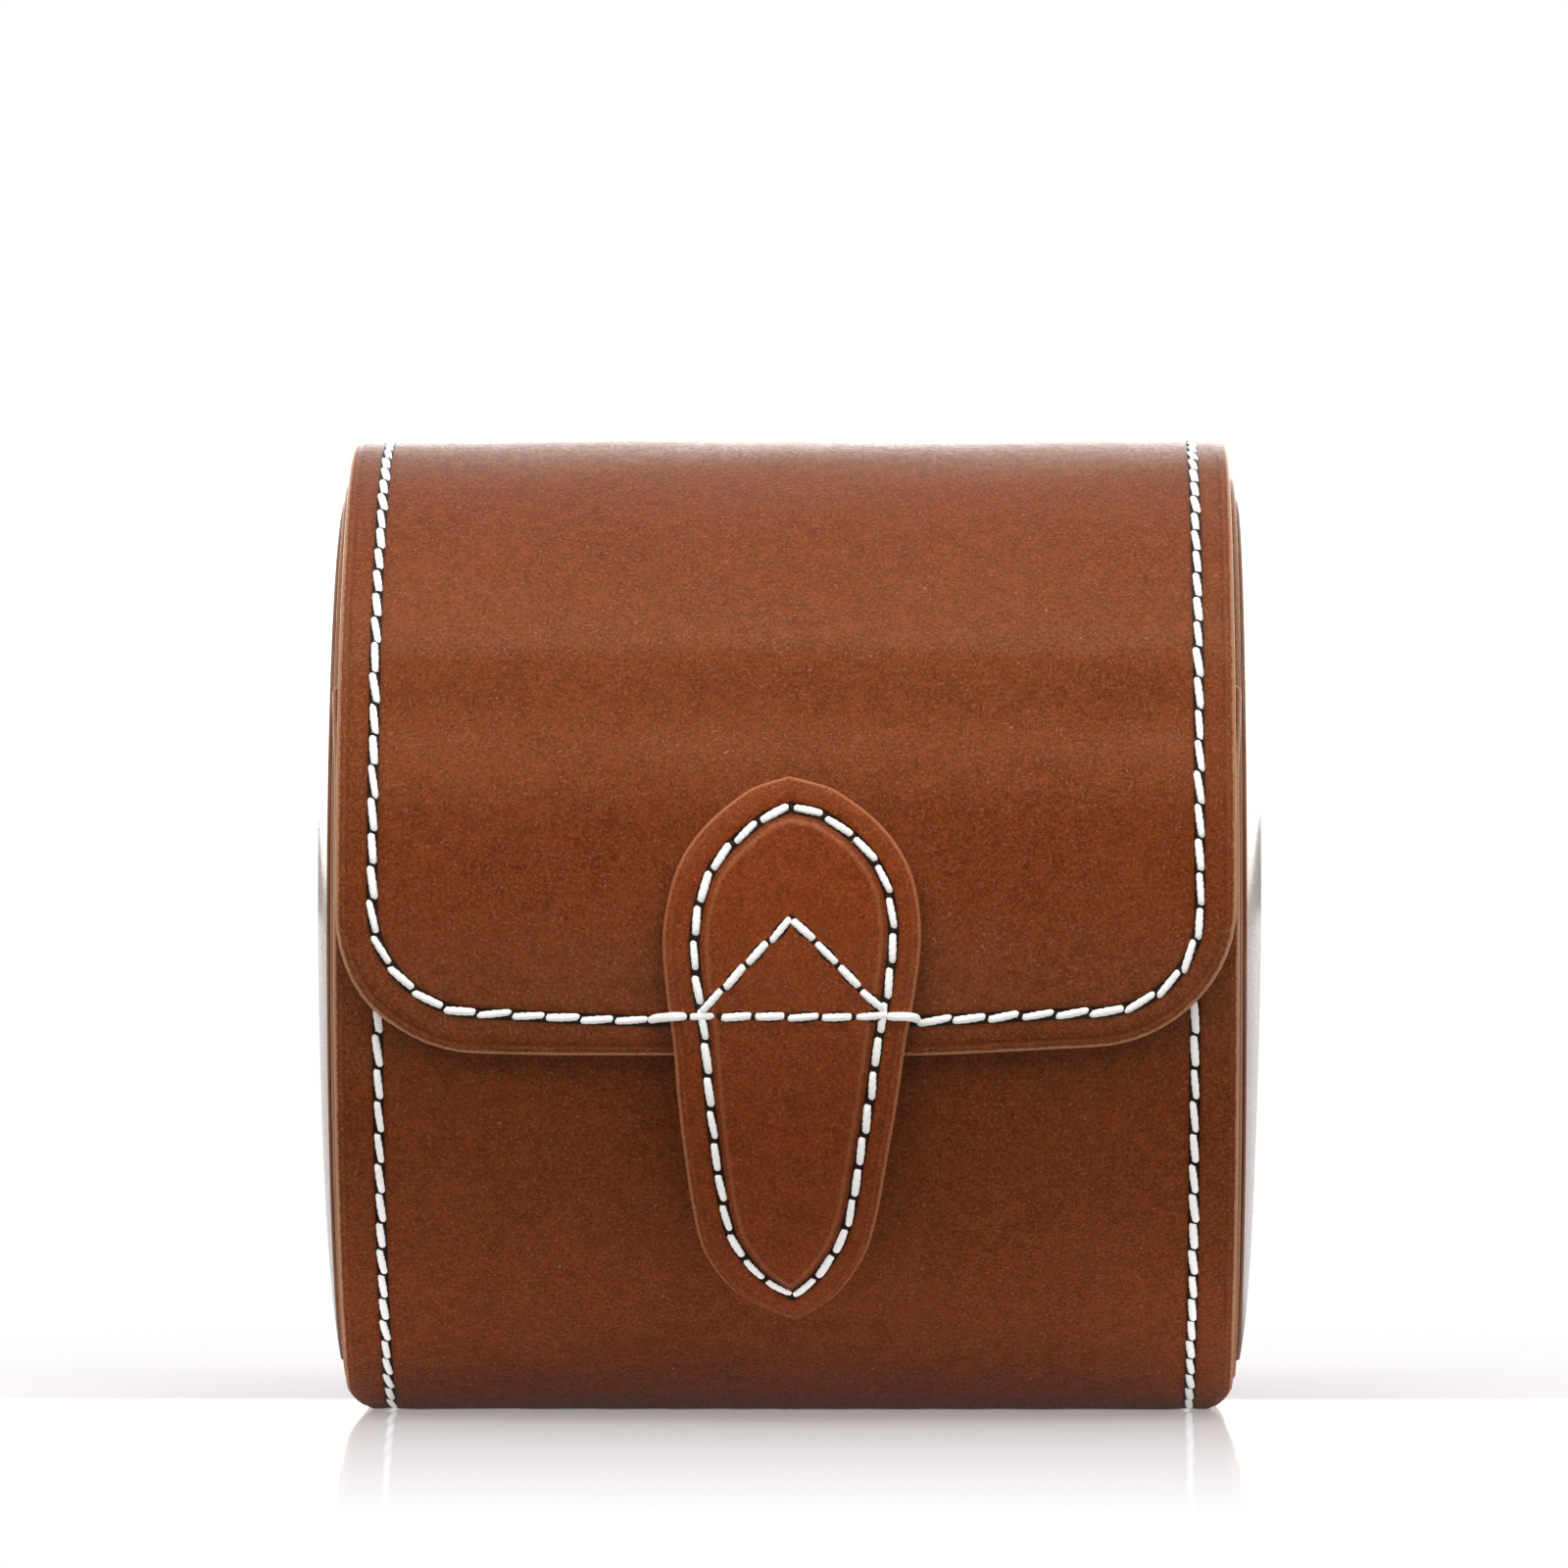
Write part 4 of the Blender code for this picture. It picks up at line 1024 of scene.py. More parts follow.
def stitch_tree():
    """Geometry nodes that sew a stitch on every pitch of a seam, and put near-black awl holes, painted as
    their shade, and beds of painted shadow on the leather beneath.
    """
    tree = bpy.data.node_groups.new("saddle_stitches", "GeometryNodeTree")
    sockets = {}
    for word, kind in (("Seam", "Geometry"), ("Pitch", "Float"), ("Length Share", "Float"),
                       ("Thread Width", "Float"), ("Rise", "Float"), ("Sink", "Float"),
                       ("Slant", "Float"), ("Wander", "Float"), ("Seed", "Int"),
                       ("Thread", "Material"), ("Awl Hole And Stitch Shadow", "Material")):
        sockets[word] = tree.interface.new_socket(name=word, in_out="INPUT",
                                                  socket_type=f"NodeSocket{kind}").identifier
    tree.interface.new_socket(name="Stitches", in_out="OUTPUT", socket_type="NodeSocketGeometry")
    given = tree.nodes.new("NodeGroupInput").outputs

    def chance(low, high, offset):
        seed = reckon(tree, "ADD", given["Seed"], float(offset))
        return add(tree, "FunctionNodeRandomValue", {"Min": low, "Max": high, "Seed": seed}, 1,
                   data_type="FLOAT")

    # Two points a pitch: a stitch's middle at each odd one, an awl hole at each even one
    curve = add(tree, "GeometryNodeMeshToCurve", {"Mesh": given["Seam"]})
    length = add(tree, "GeometryNodeSplineLength")
    count = reckon(tree, "ROUND", reckon(tree, "DIVIDE", length, given["Pitch"]))
    count = reckon(tree, "MULTIPLY_ADD", reckon(tree, "MAXIMUM", count, 1.0), 2.0, 1.0)
    spots = add(tree, "GeometryNodeResampleCurve", {"Curve": curve, "Count": count})
    up = add(tree, "GeometryNodeInputNamedAttribute", {"Name": "up"}, data_type="FLOAT_VECTOR")
    press = add(tree, "GeometryNodeInputNamedAttribute", {"Name": "press"}, data_type="FLOAT")
    along = add(tree, "GeometryNodeInputTangent")
    across = add(tree, "ShaderNodeVectorMath", {0: up, 1: along}, operation="CROSS_PRODUCT")
    wander = times(tree, chance(-1.0, 1.0, 1), given["Wander"])
    shift = add(tree, "ShaderNodeVectorMath", {0: across, "Scale": wander}, operation="SCALE")
    spots = add(tree, "GeometryNodeSetPosition", {"Geometry": spots, "Offset": shift})
    index = add(tree, "GeometryNodeSplineParameter", out="Index")
    odd = reckon(tree, "MODULO", index, 2.0)
    even = reckon(tree, "SUBTRACT", 1.0, odd)

    facing = add(tree, "FunctionNodeAxesToRotation", {"Primary Axis": up, "Secondary Axis": along},
                 primary_axis="Z", secondary_axis="X")
    slant = reckon(tree, "ADD", given["Slant"], chance(*SLANT_RANGE, 2))
    turn = add(tree, "FunctionNodeAxisAngleToRotation", {"Axis": (0, 0, 1), "Angle": slant})
    facing = add(tree, "FunctionNodeRotateRotation", {"Rotation": facing, "Rotate By": turn},
                 rotation_space="LOCAL")

    half = times(tree, times(tree, given["Pitch"], given["Length Share"]), 0.5)
    size = stretched(tree, chance(*LENGTH_RANGE, 3), chance(*WIDTH_RANGE, 4),
                     times(tree, press, STITCH_HEIGHT_SHARE))
    sewn = set_on(tree, spots, odd, strand_of(tree, given, half), facing, size, given["Thread"])
    # Near-black awl holes, painted as the shade inside them, and flat beds under the stitches, painted as
    # their shadow
    ball = add(tree, "GeometryNodeMeshUVSphere", {"Segments": 8, "Rings": 4, "Radius": 0.5})
    wide = times(tree, given["Thread Width"], HOLE_WIDTH_SHARE)
    size = stretched(tree, wide, wide, times(tree, press, HOLE_DEEP))
    holes = set_on(tree, spots, even, ball, facing, size, given["Awl Hole And Stitch Shadow"])
    size = stretched(tree, times(tree, half, 2 * SHADOW_BED_LENGTH_SHARE),
                     times(tree, given["Thread Width"], SHADOW_BED_WIDTH_SHARE),
                     times(tree, press, SHADOW_BED_DEEP))
    shadow_beds = set_on(tree, spots, odd, ball, facing, size, given["Awl Hole And Stitch Shadow"])
    whole = tree.nodes.new("GeometryNodeJoinGeometry")
    for source in (sewn, holes, shadow_beds):
        tree.links.new(source, whole.inputs[0])
    done = tree.nodes.new("NodeGroupOutput")
    tree.links.new(whole.outputs[0], done.inputs[0])
    return tree, sockets


def seam_points(route, surface):
    """A seam laid on a surface: its points, the way up there, and the share of height it keeps."""
    route = np.array(route, float)
    legs = np.linalg.norm(np.diff(route[:, :2], axis=0), axis=1)
    run = np.concatenate([[0], np.cumsum(legs)])
    even = np.linspace(0, run[-1], max(2, int(run[-1] / GUIDE_STEP)))
    x, arc, press = (np.interp(even, run, route[:, axis]) for axis in range(3))
    angle, step = arc / WRAP_RADIUS, SLOPE_STEP / WRAP_RADIUS
    spots, ahead, behind = (place(x, angle + off, surface(x, angle + off))
                            for off in (0, step, -step))
    up = np.cross(ahead - behind, np.array([1.0, 0, 0]))
    up /= np.linalg.norm(up, axis=1)[:, None]
    outward = spots - np.stack([x, 0 * x, AXIS_HEIGHT + 0 * x], axis=1)
    up *= np.sign(np.sum(up * outward, axis=1))[:, None]
    return spots, up, press


def sew(name, runs, tools, pitch=STITCH_PITCH, slant=STITCH_SLANT, share=STITCH_SHARE):
    """Sews runs of stitches, each a route in the pattern and its surface, as one mesh."""
    tree, sockets, finishes = tools
    points, ups, presses, edges = [], [], [], []
    for route, surface in runs:
        spots, up, press = seam_points(route, surface)
        start = sum(len(group) for group in points)
        points.append(spots)
        ups.append(up)
        presses.append(press)
        edges += [(start + step, start + step + 1) for step in range(len(spots) - 1)]
    guide = bpy.data.meshes.new(name + "_guide")
    guide.from_pydata([tuple(spot) for spot in np.concatenate(points)], edges, [])
    guide.attributes.new("up", "FLOAT_VECTOR", "POINT").data.foreach_set(
        "vector", np.concatenate(ups).astype(np.float32).ravel())
    guide.attributes.new("press", "FLOAT", "POINT").data.foreach_set(
        "value", np.concatenate(presses).astype(np.float32))
    seam = bpy.data.objects.new(name + "_seam", guide)
    bpy.context.scene.collection.objects.link(seam)
    sewing = seam.modifiers.new("sewing", "NODES")
    sewing.node_group = tree
    for word, value in (("Pitch", pitch), ("Length Share", share), ("Thread Width", THREAD_WIDTH),
                        ("Rise", STITCH_RISE), ("Sink", STITCH_SINK), ("Slant", slant),
                        ("Wander", STITCH_WANDER), ("Seed", STITCH_SEED),
                        ("Thread", finishes["thread"]), ("Awl Hole And Stitch Shadow", finishes["awl_hole_and_stitch_shadow"])):
        sewing[sockets[word]] = value
    shown = bpy.context.evaluated_depsgraph_get()
    data = bpy.data.meshes.new_from_object(seam.evaluated_get(shown), depsgraph=shown)
    data.name = name
    bpy.data.objects.remove(seam)
    for spare in [word.name for word in data.attributes if word.name in ("up", "press")]:
        data.attributes.remove(data.attributes[spare])
    piece = bpy.data.objects.new(name, data)
    bpy.context.scene.collection.objects.link(piece)
    return piece


def over_groove(x, angle):
    """The floor of the seam's groove on the back and flap."""
    return over_surface(x, angle) - SEAM_DEEP


def wall_groove(x, angle):
    """The floor of the seam's groove on the front wall."""
    return wall_surface(x, angle) - SEAM_DEEP


def tab_groove(x, angle):
    """The floor of the seam's groove on the tab."""
    seam_at = tab_seam_at(x, angle * WRAP_RADIUS)
    return tab_seat(angle) + tab_height(seam_at, seam_at)


def bridging_stitch(piece, spots, finish):
    """Adds a stitch that bends over the tab's edge to a sewn piece. Its spots are X, arc and height
    above the flap."""
    x, arc, height = smooth_line(np.array(spots), BRIDGE_RINGS).T
    angle = arc / WRAP_RADIUS
    middle = place(x, angle, over_face(angle) + height)
    along = np.gradient(middle, axis=0)
    along /= np.linalg.norm(along, axis=1)[:, None]
    rising = place(x, angle + MM, over_face(angle)) - place(x, angle, over_face(angle))
    across = rising - along * np.sum(rising * along, axis=1)[:, None]
    across /= np.linalg.norm(across, axis=1)[:, None]
    out = np.cross(along, across)
    from_middle = np.linspace(-1, 1, len(x))
    thick = BRIDGE_THREAD * np.maximum(1 - from_middle ** 6, BRIDGE_END_LEAST) ** BRIDGE_END_POWER
    shape = bmesh.new()
    shape.from_mesh(piece.data)
    pattern = shape.verts.layers.float_vector["thread_place"]
    rings = []
    for row, run in enumerate(from_middle):
        ring = []
        for turn in np.linspace(0, 2 * pi, THREAD_SIDES, endpoint=False):
            aside = (across[row] * cos(turn) + out[row] * sin(turn)) * thick[row]
            vert = shape.verts.new(middle[row] + aside)
            vert[pattern] = (PATTERN_HALF * run, PATTERN_RADIUS * cos(turn),
                             PATTERN_RADIUS * sin(turn))
            ring.append(vert)
        rings.append(ring)
    made = [shape.faces.new(list(reversed(rings[0]))), shape.faces.new(rings[-1])]
    for near, far in zip(rings, rings[1:]):
        for step in range(THREAD_SIDES):
            beside = (step + 1) % THREAD_SIDES
            made.append(shape.faces.new((near[step], near[beside], far[beside], far[step])))
    slots = [held.name if held else "" for held in piece.data.materials]
    for face in made:
        face.smooth = True
        face.material_index = slots.index(finish.name)
    bmesh.ops.recalc_face_normals(shape, faces=made)
    shape.to_mesh(piece.data)
    shape.free()


FLAP_BOTTOM_ARC = FLAP_EDGE * WRAP_RADIUS + FLAP_BOTTOM_SEAM
# Points of the flap's seam along its side, round its corner and along its lower edge
SEAM_SIDE_STEPS, SEAM_CORNER_STEPS, SEAM_EDGE_STEPS = 120, 14, 12


def over_runs():
    """The seam up each side of the back, over the top, down the flap and in to the tab."""
    runs = []
    for side, corner, tab_x in ((-1, SEAM_CORNER_LEFT, BRIDGE_LEFT),
                                (1, SEAM_CORNER_RIGHT, BRIDGE_RIGHT)):
        corner_x = FLAP_HALF_WIDTH - FLAP_SEAM_INSET - corner
        angles = np.linspace(BACK_SEAM_FOOT, (FLAP_BOTTOM_ARC + corner) / WRAP_RADIUS,
                             SEAM_SIDE_STEPS)
        leg = [(side * float(over_half(angle) - over_seam(angle)), angle * WRAP_RADIUS,
                1 - SOLE_PRESS * float(on_sole(angle))) for angle in angles]
        turn = [(side * (corner_x + corner * cos(step)), FLAP_BOTTOM_ARC + corner * (1 - sin(step)))
                for step in np.linspace(0, pi / 2, SEAM_CORNER_STEPS)[1:]]
        straight = [(x, FLAP_BOTTOM_ARC)
                    for x in np.linspace(side * corner_x, tab_x, SEAM_EDGE_STEPS)[1:]]
        raised = [(x, arc + bottom_seam_rise(x), 1.0) for x, arc in turn + straight]
        route = [(x, flap_cut(x, arc / WRAP_RADIUS) * WRAP_RADIUS, press)
                 for x, arc, press in leg + raised]
        runs.append((route if side < 0 else route[::-1], over_groove))
    return runs


def wall_runs():
    """The seam down each side of the front wall, from under the flap to the sole."""
    runs = []
    for side in (-1, 1):
        route = [(side * WALL_SEAM_X, radians(degrees) * WRAP_RADIUS, press)
                 for degrees, press in WALL_SEAM]
        runs.append((route if side < 0 else route[::-1], wall_groove))
    return runs


def tab_runs(rays):
    """The seam round the tab, as its two sides."""
    outline = tab_ring(rays, 0.0)
    ring = tab_ring(rays, tab_seam_at(*outline.T))
    ring = tab_ring(rays, tab_seam_at(*ring.T))
    last = TAB_SIDE_STEPS
    runs = []
    for line in (ring[:last][::-1], np.vstack([ring[last - 1:], ring[:1]])[::-1]):
        steps = np.linalg.norm(np.diff(line, axis=0), axis=1)
        keep = np.concatenate([[True], steps > LEAST_STEP])
        runs.append(([(x, arc, 1.0) for x, arc in line[keep]], tab_groove))
    return runs


def chevron_runs():
    """The two lines of the chevron on the tab, which meet at its apex."""
    foot, apex = CHEVRON_FOOT * WRAP_RADIUS, CHEVRON_APEX * WRAP_RADIUS
    left, right = TAB_OFFSET - CHEVRON_HALF, TAB_OFFSET + CHEVRON_HALF
    return [([(left, foot, 1.0), (TAB_OFFSET, apex, 1.0)], tab_face),
            ([(TAB_OFFSET, apex, 1.0), (right, foot, 1.0)], tab_face)]


def sew_cross_line(finishes, tools, look):
    """The line of stitches across the tab, with one at each end that bridges its edge."""
    cross = CROSS_LINE * WRAP_RADIUS
    run = ([(CROSS_LEFT, cross, 1.0), (CROSS_RIGHT, cross, 1.0)], tab_face)
    line = sew("cross_stitches", [run], tools, **look)
    top = SEAT_GAP + TAB_STACK - TAB_BORDER_SUNK
    for side, enter, edge_x, leave in ((-1, CROSS_LEFT, TAB_EDGE_LEFT, BRIDGE_LEFT),
                                       (1, CROSS_RIGHT, TAB_EDGE_RIGHT, BRIDGE_RIGHT)):
        way = [(enter + side * out, cross, top + height) for out, height in BRIDGE_AT_HOLE]
        way += [(edge_x + side * out, cross + down, top + height)
                for out, down, height in BRIDGE_AT_EDGE]
        out = BRIDGE_AT_EDGE[-1][0] + BRIDGE_FALL_SHARE * abs(leave - edge_x)
        way += [(edge_x + side * out, (cross + FLAP_BOTTOM_ARC) / 2, BRIDGE_FALL_HEIGHT),
                (leave, FLAP_BOTTOM_ARC, BRIDGE_END_HEIGHT)]
        bridging_stitch(line, way, finishes["thread"])
    return line


def make_seams(finishes, bend, flex, rays):
    """All the saddle stitching."""
    tools = (*stitch_tree(), finishes)
    over = sew("over_stitches", over_runs(), tools)
    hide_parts("flap_thread_left", "flap_thread_right", "wrap_thread_back_left",
                "wrap_thread_back_right")
    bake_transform(over, "roll", "flap", **bend)
    wall = sew("wall_stitches", wall_runs(), tools)
    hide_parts("wrap_thread_front_left", "wrap_thread_front_right")
    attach(wall, "roll")
    on_tab = {"slant": TAB_STITCH_SLANT, "share": TAB_STITCH_SHARE}
    rim = sew("tab_stitches", tab_runs(rays), tools, pitch=TAB_PITCH, **on_tab)
    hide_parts("tab_thread_fixed", "tab_thread_free")
    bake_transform(rim, "flap", "tab", **flex)
    chevron = sew("chevron_stitches", chevron_runs(), tools, **on_tab)
    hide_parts("tab_chevron_thread")
    line = sew_cross_line(finishes, tools, on_tab)
    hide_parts("tab_cross_thread")
    for piece in (chevron, line):
        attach(piece, "flap")


# Finishes

def value_ramp(tree, value, low, high, low_out=0.0, high_out=1.0):
    """A smooth remap of a value."""
    return add(tree, "ShaderNodeMapRange", {"Value": value, "From Min": low, "From Max": high,
                                            "To Min": low_out, "To Max": high_out},
               interpolation_type="SMOOTHSTEP")


def blend_colours(tree, share, first, second):
    """Two colours mixed by a share, with the sockets that a Mix node has for colours."""
    first, second = ((*tone, 1) if isinstance(tone, tuple) else tone for tone in (first, second))
    return add(tree, "ShaderNodeMix", {0: share, 6: first, 7: second}, 2, data_type="RGBA")


def shader_group(name, given, made):
    """An empty shader group with named inputs and outputs."""
    tree = bpy.data.node_groups.new(name, "ShaderNodeTree")
    for word, kind, value in given:
        socket = tree.interface.new_socket(name=word, in_out="INPUT",
                                           socket_type=f"NodeSocket{kind}")
        if value is not None:
            socket.default_value = value
    for word, kind in made:
        tree.interface.new_socket(name=word, in_out="OUTPUT", socket_type=f"NodeSocket{kind}")
    return tree, tree.nodes.new("NodeGroupInput").outputs, tree.nodes.new("NodeGroupOutput").inputs


def hide_grain_group():
    """Smooth calf leather: clouds, fine mottling, dark and pale specks and pores, sized in mm."""
    tree, given, made = shader_group(
        "hide_grain", (("Place", "Vector", None), ("Cloud Size", "Float", 14.0),
                       ("Mottle Size", "Float", 0.36), ("Pore Size", "Float", 0.24)),
        (("Cloud", "Float"), ("Mottle", "Float"), ("Dark Speck", "Float"), ("Pale Speck", "Float"),
         ("Fleck", "Float"), ("Height", "Float")))
    spot = add(tree, "ShaderNodeVectorMath", {0: given["Place"], "Scale": TO_MM}, operation="SCALE")

    def noise(size, detail, rough, factor=1.0, aside=0.0):
        scale = reckon(tree, "DIVIDE", factor, given[size])
        moved = add(tree, "ShaderNodeVectorMath", {0: spot, 1: (aside, aside, aside)},
                    operation="ADD")
        return add(tree, "ShaderNodeTexNoise", {"Vector": moved, "Scale": scale, "Detail": detail,
                                                "Roughness": rough})

    mottle = noise("Mottle Size", 3.0, 0.65)
    broad_mottle = noise("Mottle Size", 2.0, 0.5, 0.22)
    mixed = reckon(tree, "ADD", times(tree, mottle, 0.75), times(tree, broad_mottle, 0.25))
    for word, value, low, high in (
            ("Cloud", noise("Cloud Size", 3.0, 0.55), 0.32, 0.68),
            ("Mottle", mixed, 0.40, 0.60),
            ("Dark Speck", noise("Mottle Size", 1.0, 0.5, 1.3, 31.0), 0.56, 0.70),
            ("Pale Speck", noise("Mottle Size", 1.0, 0.5, 1.5, 57.0), 0.58, 0.72),
            ("Fleck", noise("Mottle Size", 0.0, 0.5, 0.55, 83.0), 0.85, 0.90)):
        tree.links.new(value_ramp(tree, value, low, high), made[word])
    pores = add(tree, "ShaderNodeTexVoronoi", {
        "Vector": spot, "Scale": reckon(tree, "DIVIDE", 1.0, given["Pore Size"])},
        feature="SMOOTH_F1")
    fine = noise("Pore Size", 3.0, 0.6, 2.2)
    tree.links.new(reckon(tree, "ADD", times(tree, pores, 0.6), times(tree, fine, 0.5)),
                   made["Height"])
    return tree


def edge_wear_and_painted_light_group():
    """Where an edge is rubbed pale and takes a painted highlight, where painted highlight lines run inside
    the edge and by the tab's pad, where the crease takes painted shade, and where a seam's groove takes
    painted shadow and shade, from mm.
    """
    tree, given, made = shader_group(
        "edge_wear_and_painted_light", (("Edge", "Float", 9.0), ("Seam", "Float", 9.0), ("Wear", "Float", 0.5)),
        (("Rim", "Float"), ("Crease", "Float"), ("Line", "Float"), ("Stitch Shadow", "Float"),
         ("Stitch Shade", "Float"), ("Panel Highlight", "Float")))
    uneven = reckon(tree, "MULTIPLY_ADD", given["Wear"], 0.12, -0.06)
    edge = reckon(tree, "ADD", given["Edge"], uneven)
    seam = reckon(tree, "ABSOLUTE", given["Seam"])

    def off(value, place):
        return reckon(tree, "ABSOLUTE", reckon(tree, "SUBTRACT", value, place))

    # The rim mask is real rubbed wear with a painted highlight. The line by the edge and the line by the
    # tab's pad are painted highlights on ridges. The crease and both seam masks are painted shade, darkest
    # as painted shadow in the seam's core.
    for word, value, near, far in (
            ("Rim", edge, 0.18, 0.44), ("Crease", off(edge, 1.05), 0.04, 0.28),
            ("Line", off(edge, 0.78), 0.03, 0.30), ("Stitch Shadow", seam, 0.46, 0.62),
            ("Stitch Shade", seam, 0.50, 1.10),
            ("Panel Highlight", off(given["Seam"], 1.15), 0.05, 0.35)):
        tree.links.new(value_ramp(tree, value, near, far, 1.0, 0.0), made[word])
    return tree


def suede_nap_group():
    """Suede: a brushed nap that lies in soft patches, sized in mm."""
    tree, given, made = shader_group(
        "suede_nap", (("Place", "Vector", None), ("Nap Size", "Float", 0.25)),
        (("Patch", "Float"), ("Nap", "Float")))
    spot = add(tree, "ShaderNodeVectorMath", {0: given["Place"], "Scale": TO_MM}, operation="SCALE")
    patch = add(tree, "ShaderNodeTexNoise", {"Vector": spot, "Scale": 0.12, "Detail": 4.0,
                                             "Distortion": 0.8})
    nap = add(tree, "ShaderNodeTexNoise", {
        "Vector": spot, "Scale": reckon(tree, "DIVIDE", 1.0, given["Nap Size"]), "Detail": 4.0})
    tree.links.new(value_ramp(tree, patch, 0.35, 0.65), made["Patch"])
    tree.links.new(nap, made["Nap"])
    return tree


def new_finish(name, values):
    """A material with only its shader, which has these values, and its tree and shader."""
    finish = bpy.data.materials.new(name)
    finish.use_nodes = True
    shader = finish.node_tree.nodes["Principled BSDF"]
    for word, value in values.items():
        shader.inputs[word].default_value = value
    return finish, finish.node_tree, shader


def mark(tree, word):
    """A number kept at a piece's points."""
    return add(tree, "ShaderNodeAttribute", attribute_name=word, out="Fac")


def rest_spot(tree):
    """Where a point lies at rest."""
    return add(tree, "ShaderNodeAttribute", attribute_name="rest_place", out="Vector")


def grouped(tree, group, links):
    """A group placed in a material."""
    node = tree.nodes.new("ShaderNodeGroup")
    node.node_tree = group
    for word, value in links.items():
        if isinstance(value, bpy.types.NodeSocket):
            tree.links.new(value, node.inputs[word])
        else:
            node.inputs[word].default_value = value
    return node.outputs


def hide_finish(name, groups, tones, rough, rim=0.8, line=0.12, panel=0.0, coat=0.0):
    """Leather in its own tones, with its rubbed edges that carry a painted highlight, painted highlight
    lines by its edges and pad, and painted shade and shadow in its crease and seams.
    """
    finish, tree, shader = new_finish(name, {
        "Specular IOR Level": 0.16, "Specular Tint": (0.70, 1.0, 0.70, 1), "Coat Weight": coat,
        "Coat Roughness": 0.12})
    grain = grouped(tree, groups["grain"], {"Place": rest_spot(tree)})
    edges = grouped(tree, groups["edge"], {"Edge": mark(tree, "edge_mm"),
                                           "Seam": mark(tree, "seam_mm"), "Wear": grain["Mottle"]})
    colour = blend_colours(tree, grain["Mottle"], tones["dark"], tones["middle"])
    colour = blend_colours(tree, times(tree, grain["Cloud"], 0.28), colour, tones["bright"])
    # The shade tone darkens the crease and the seam's groove as painted shade. The near-black hole tone
    # paints the shadow in the seam's core. The pale edge tone gives the rubbed edge and the painted
    # highlights.
    for share, weight, tone in (
            (grain["Dark Speck"], 0.55, "speck"), (grain["Pale Speck"], 0.50, "pale"),
            (edges["Stitch Shade"], 0.30, "shade"), (edges["Crease"], 0.20, "shade"),
            (edges["Panel Highlight"], panel, "worn_and_highlight"), (edges["Line"], line, "worn_and_highlight"),
            (edges["Rim"], rim, "worn_and_highlight"), (edges["Stitch Shadow"], 0.90, "hole"),
            (grain["Fleck"], 0.35, "fleck")):
        if weight:
            colour = blend_colours(tree, times(tree, share, weight), colour, tones[tone])
    tree.links.new(colour, shader.inputs["Base Color"])
    tree.links.new(value_ramp(tree, grain["Mottle"], 0.0, 1.0, rough + 0.04, rough - 0.05),
                   shader.inputs["Roughness"])
    bump = add(tree, "ShaderNodeBump", {"Height": grain["Height"], "Strength": 0.40,
                                        "Distance": 0.00012})
    tree.links.new(bump, shader.inputs["Normal"])
    return finish


def suede_finish(name, groups, dark, light):
    """Suede with a soft sheen."""
    finish, tree, shader = new_finish(name, {
        "Roughness": 0.92, "Sheen Weight": 0.12, "Sheen Roughness": 0.5,
        "Specular IOR Level": 0.15})
    nap = grouped(tree, groups["nap"], {"Place": rest_spot(tree)})
    colour = blend_colours(tree, nap["Patch"], dark, light)
    colour = blend_colours(tree, value_ramp(tree, nap["Nap"], 0.35, 0.7, 0.0, 0.5), colour,
                           tuple(value * 1.5 for value in light))
    tree.links.new(colour, shader.inputs["Base Color"])
    bump = add(tree, "ShaderNodeBump", {"Height": nap["Nap"], "Strength": 0.5, "Distance": 0.0002})
    tree.links.new(bump, shader.inputs["Normal"])
    return finish


def thread_finish():
    """Waxed white linen thread, twisted from plies, with a faint painted glow that keeps it white in shade.
    """
    # The emission is painted light: it brightens the thread where it lies in shade
    finish, tree, shader = new_finish("white_thread", {
        "Roughness": 0.62, "Sheen Weight": 0.25, "Emission Color": (1.0, 0.99, 0.96, 1),
        "Emission Strength": 0.12})
    spot = add(tree, "ShaderNodeAttribute", attribute_name="thread_place", out="Vector")
    spot = add(tree, "ShaderNodeVectorMath", {0: spot, "Scale": TO_MM}, operation="SCALE")
    parts = parts_of(tree, spot)
    slope = reckon(tree, "MULTIPLY_ADD", parts["Y"], 5.5, times(tree, parts["X"], 9.0))
    plies = reckon(tree, "MULTIPLY_ADD", reckon(tree, "SINE", slope), 0.5, 0.5)
    fibre = add(tree, "ShaderNodeTexNoise", {"Vector": spot, "Scale": 6.0, "Detail": 3.0})
    colour = blend_colours(tree, plies, (0.94, 0.92, 0.88), (0.98, 0.97, 0.95))
    colour = blend_colours(tree, value_ramp(tree, fibre, 0.4, 0.7, 0.0, 0.25), colour,
                           (0.76, 0.72, 0.64))
    tree.links.new(colour, shader.inputs["Base Color"])
    height = reckon(tree, "ADD", plies, times(tree, fibre, 0.6))
    bump = add(tree, "ShaderNodeBump", {"Height": height, "Strength": 0.25, "Distance": 0.00006})
    tree.links.new(bump, shader.inputs["Normal"])
    return finish


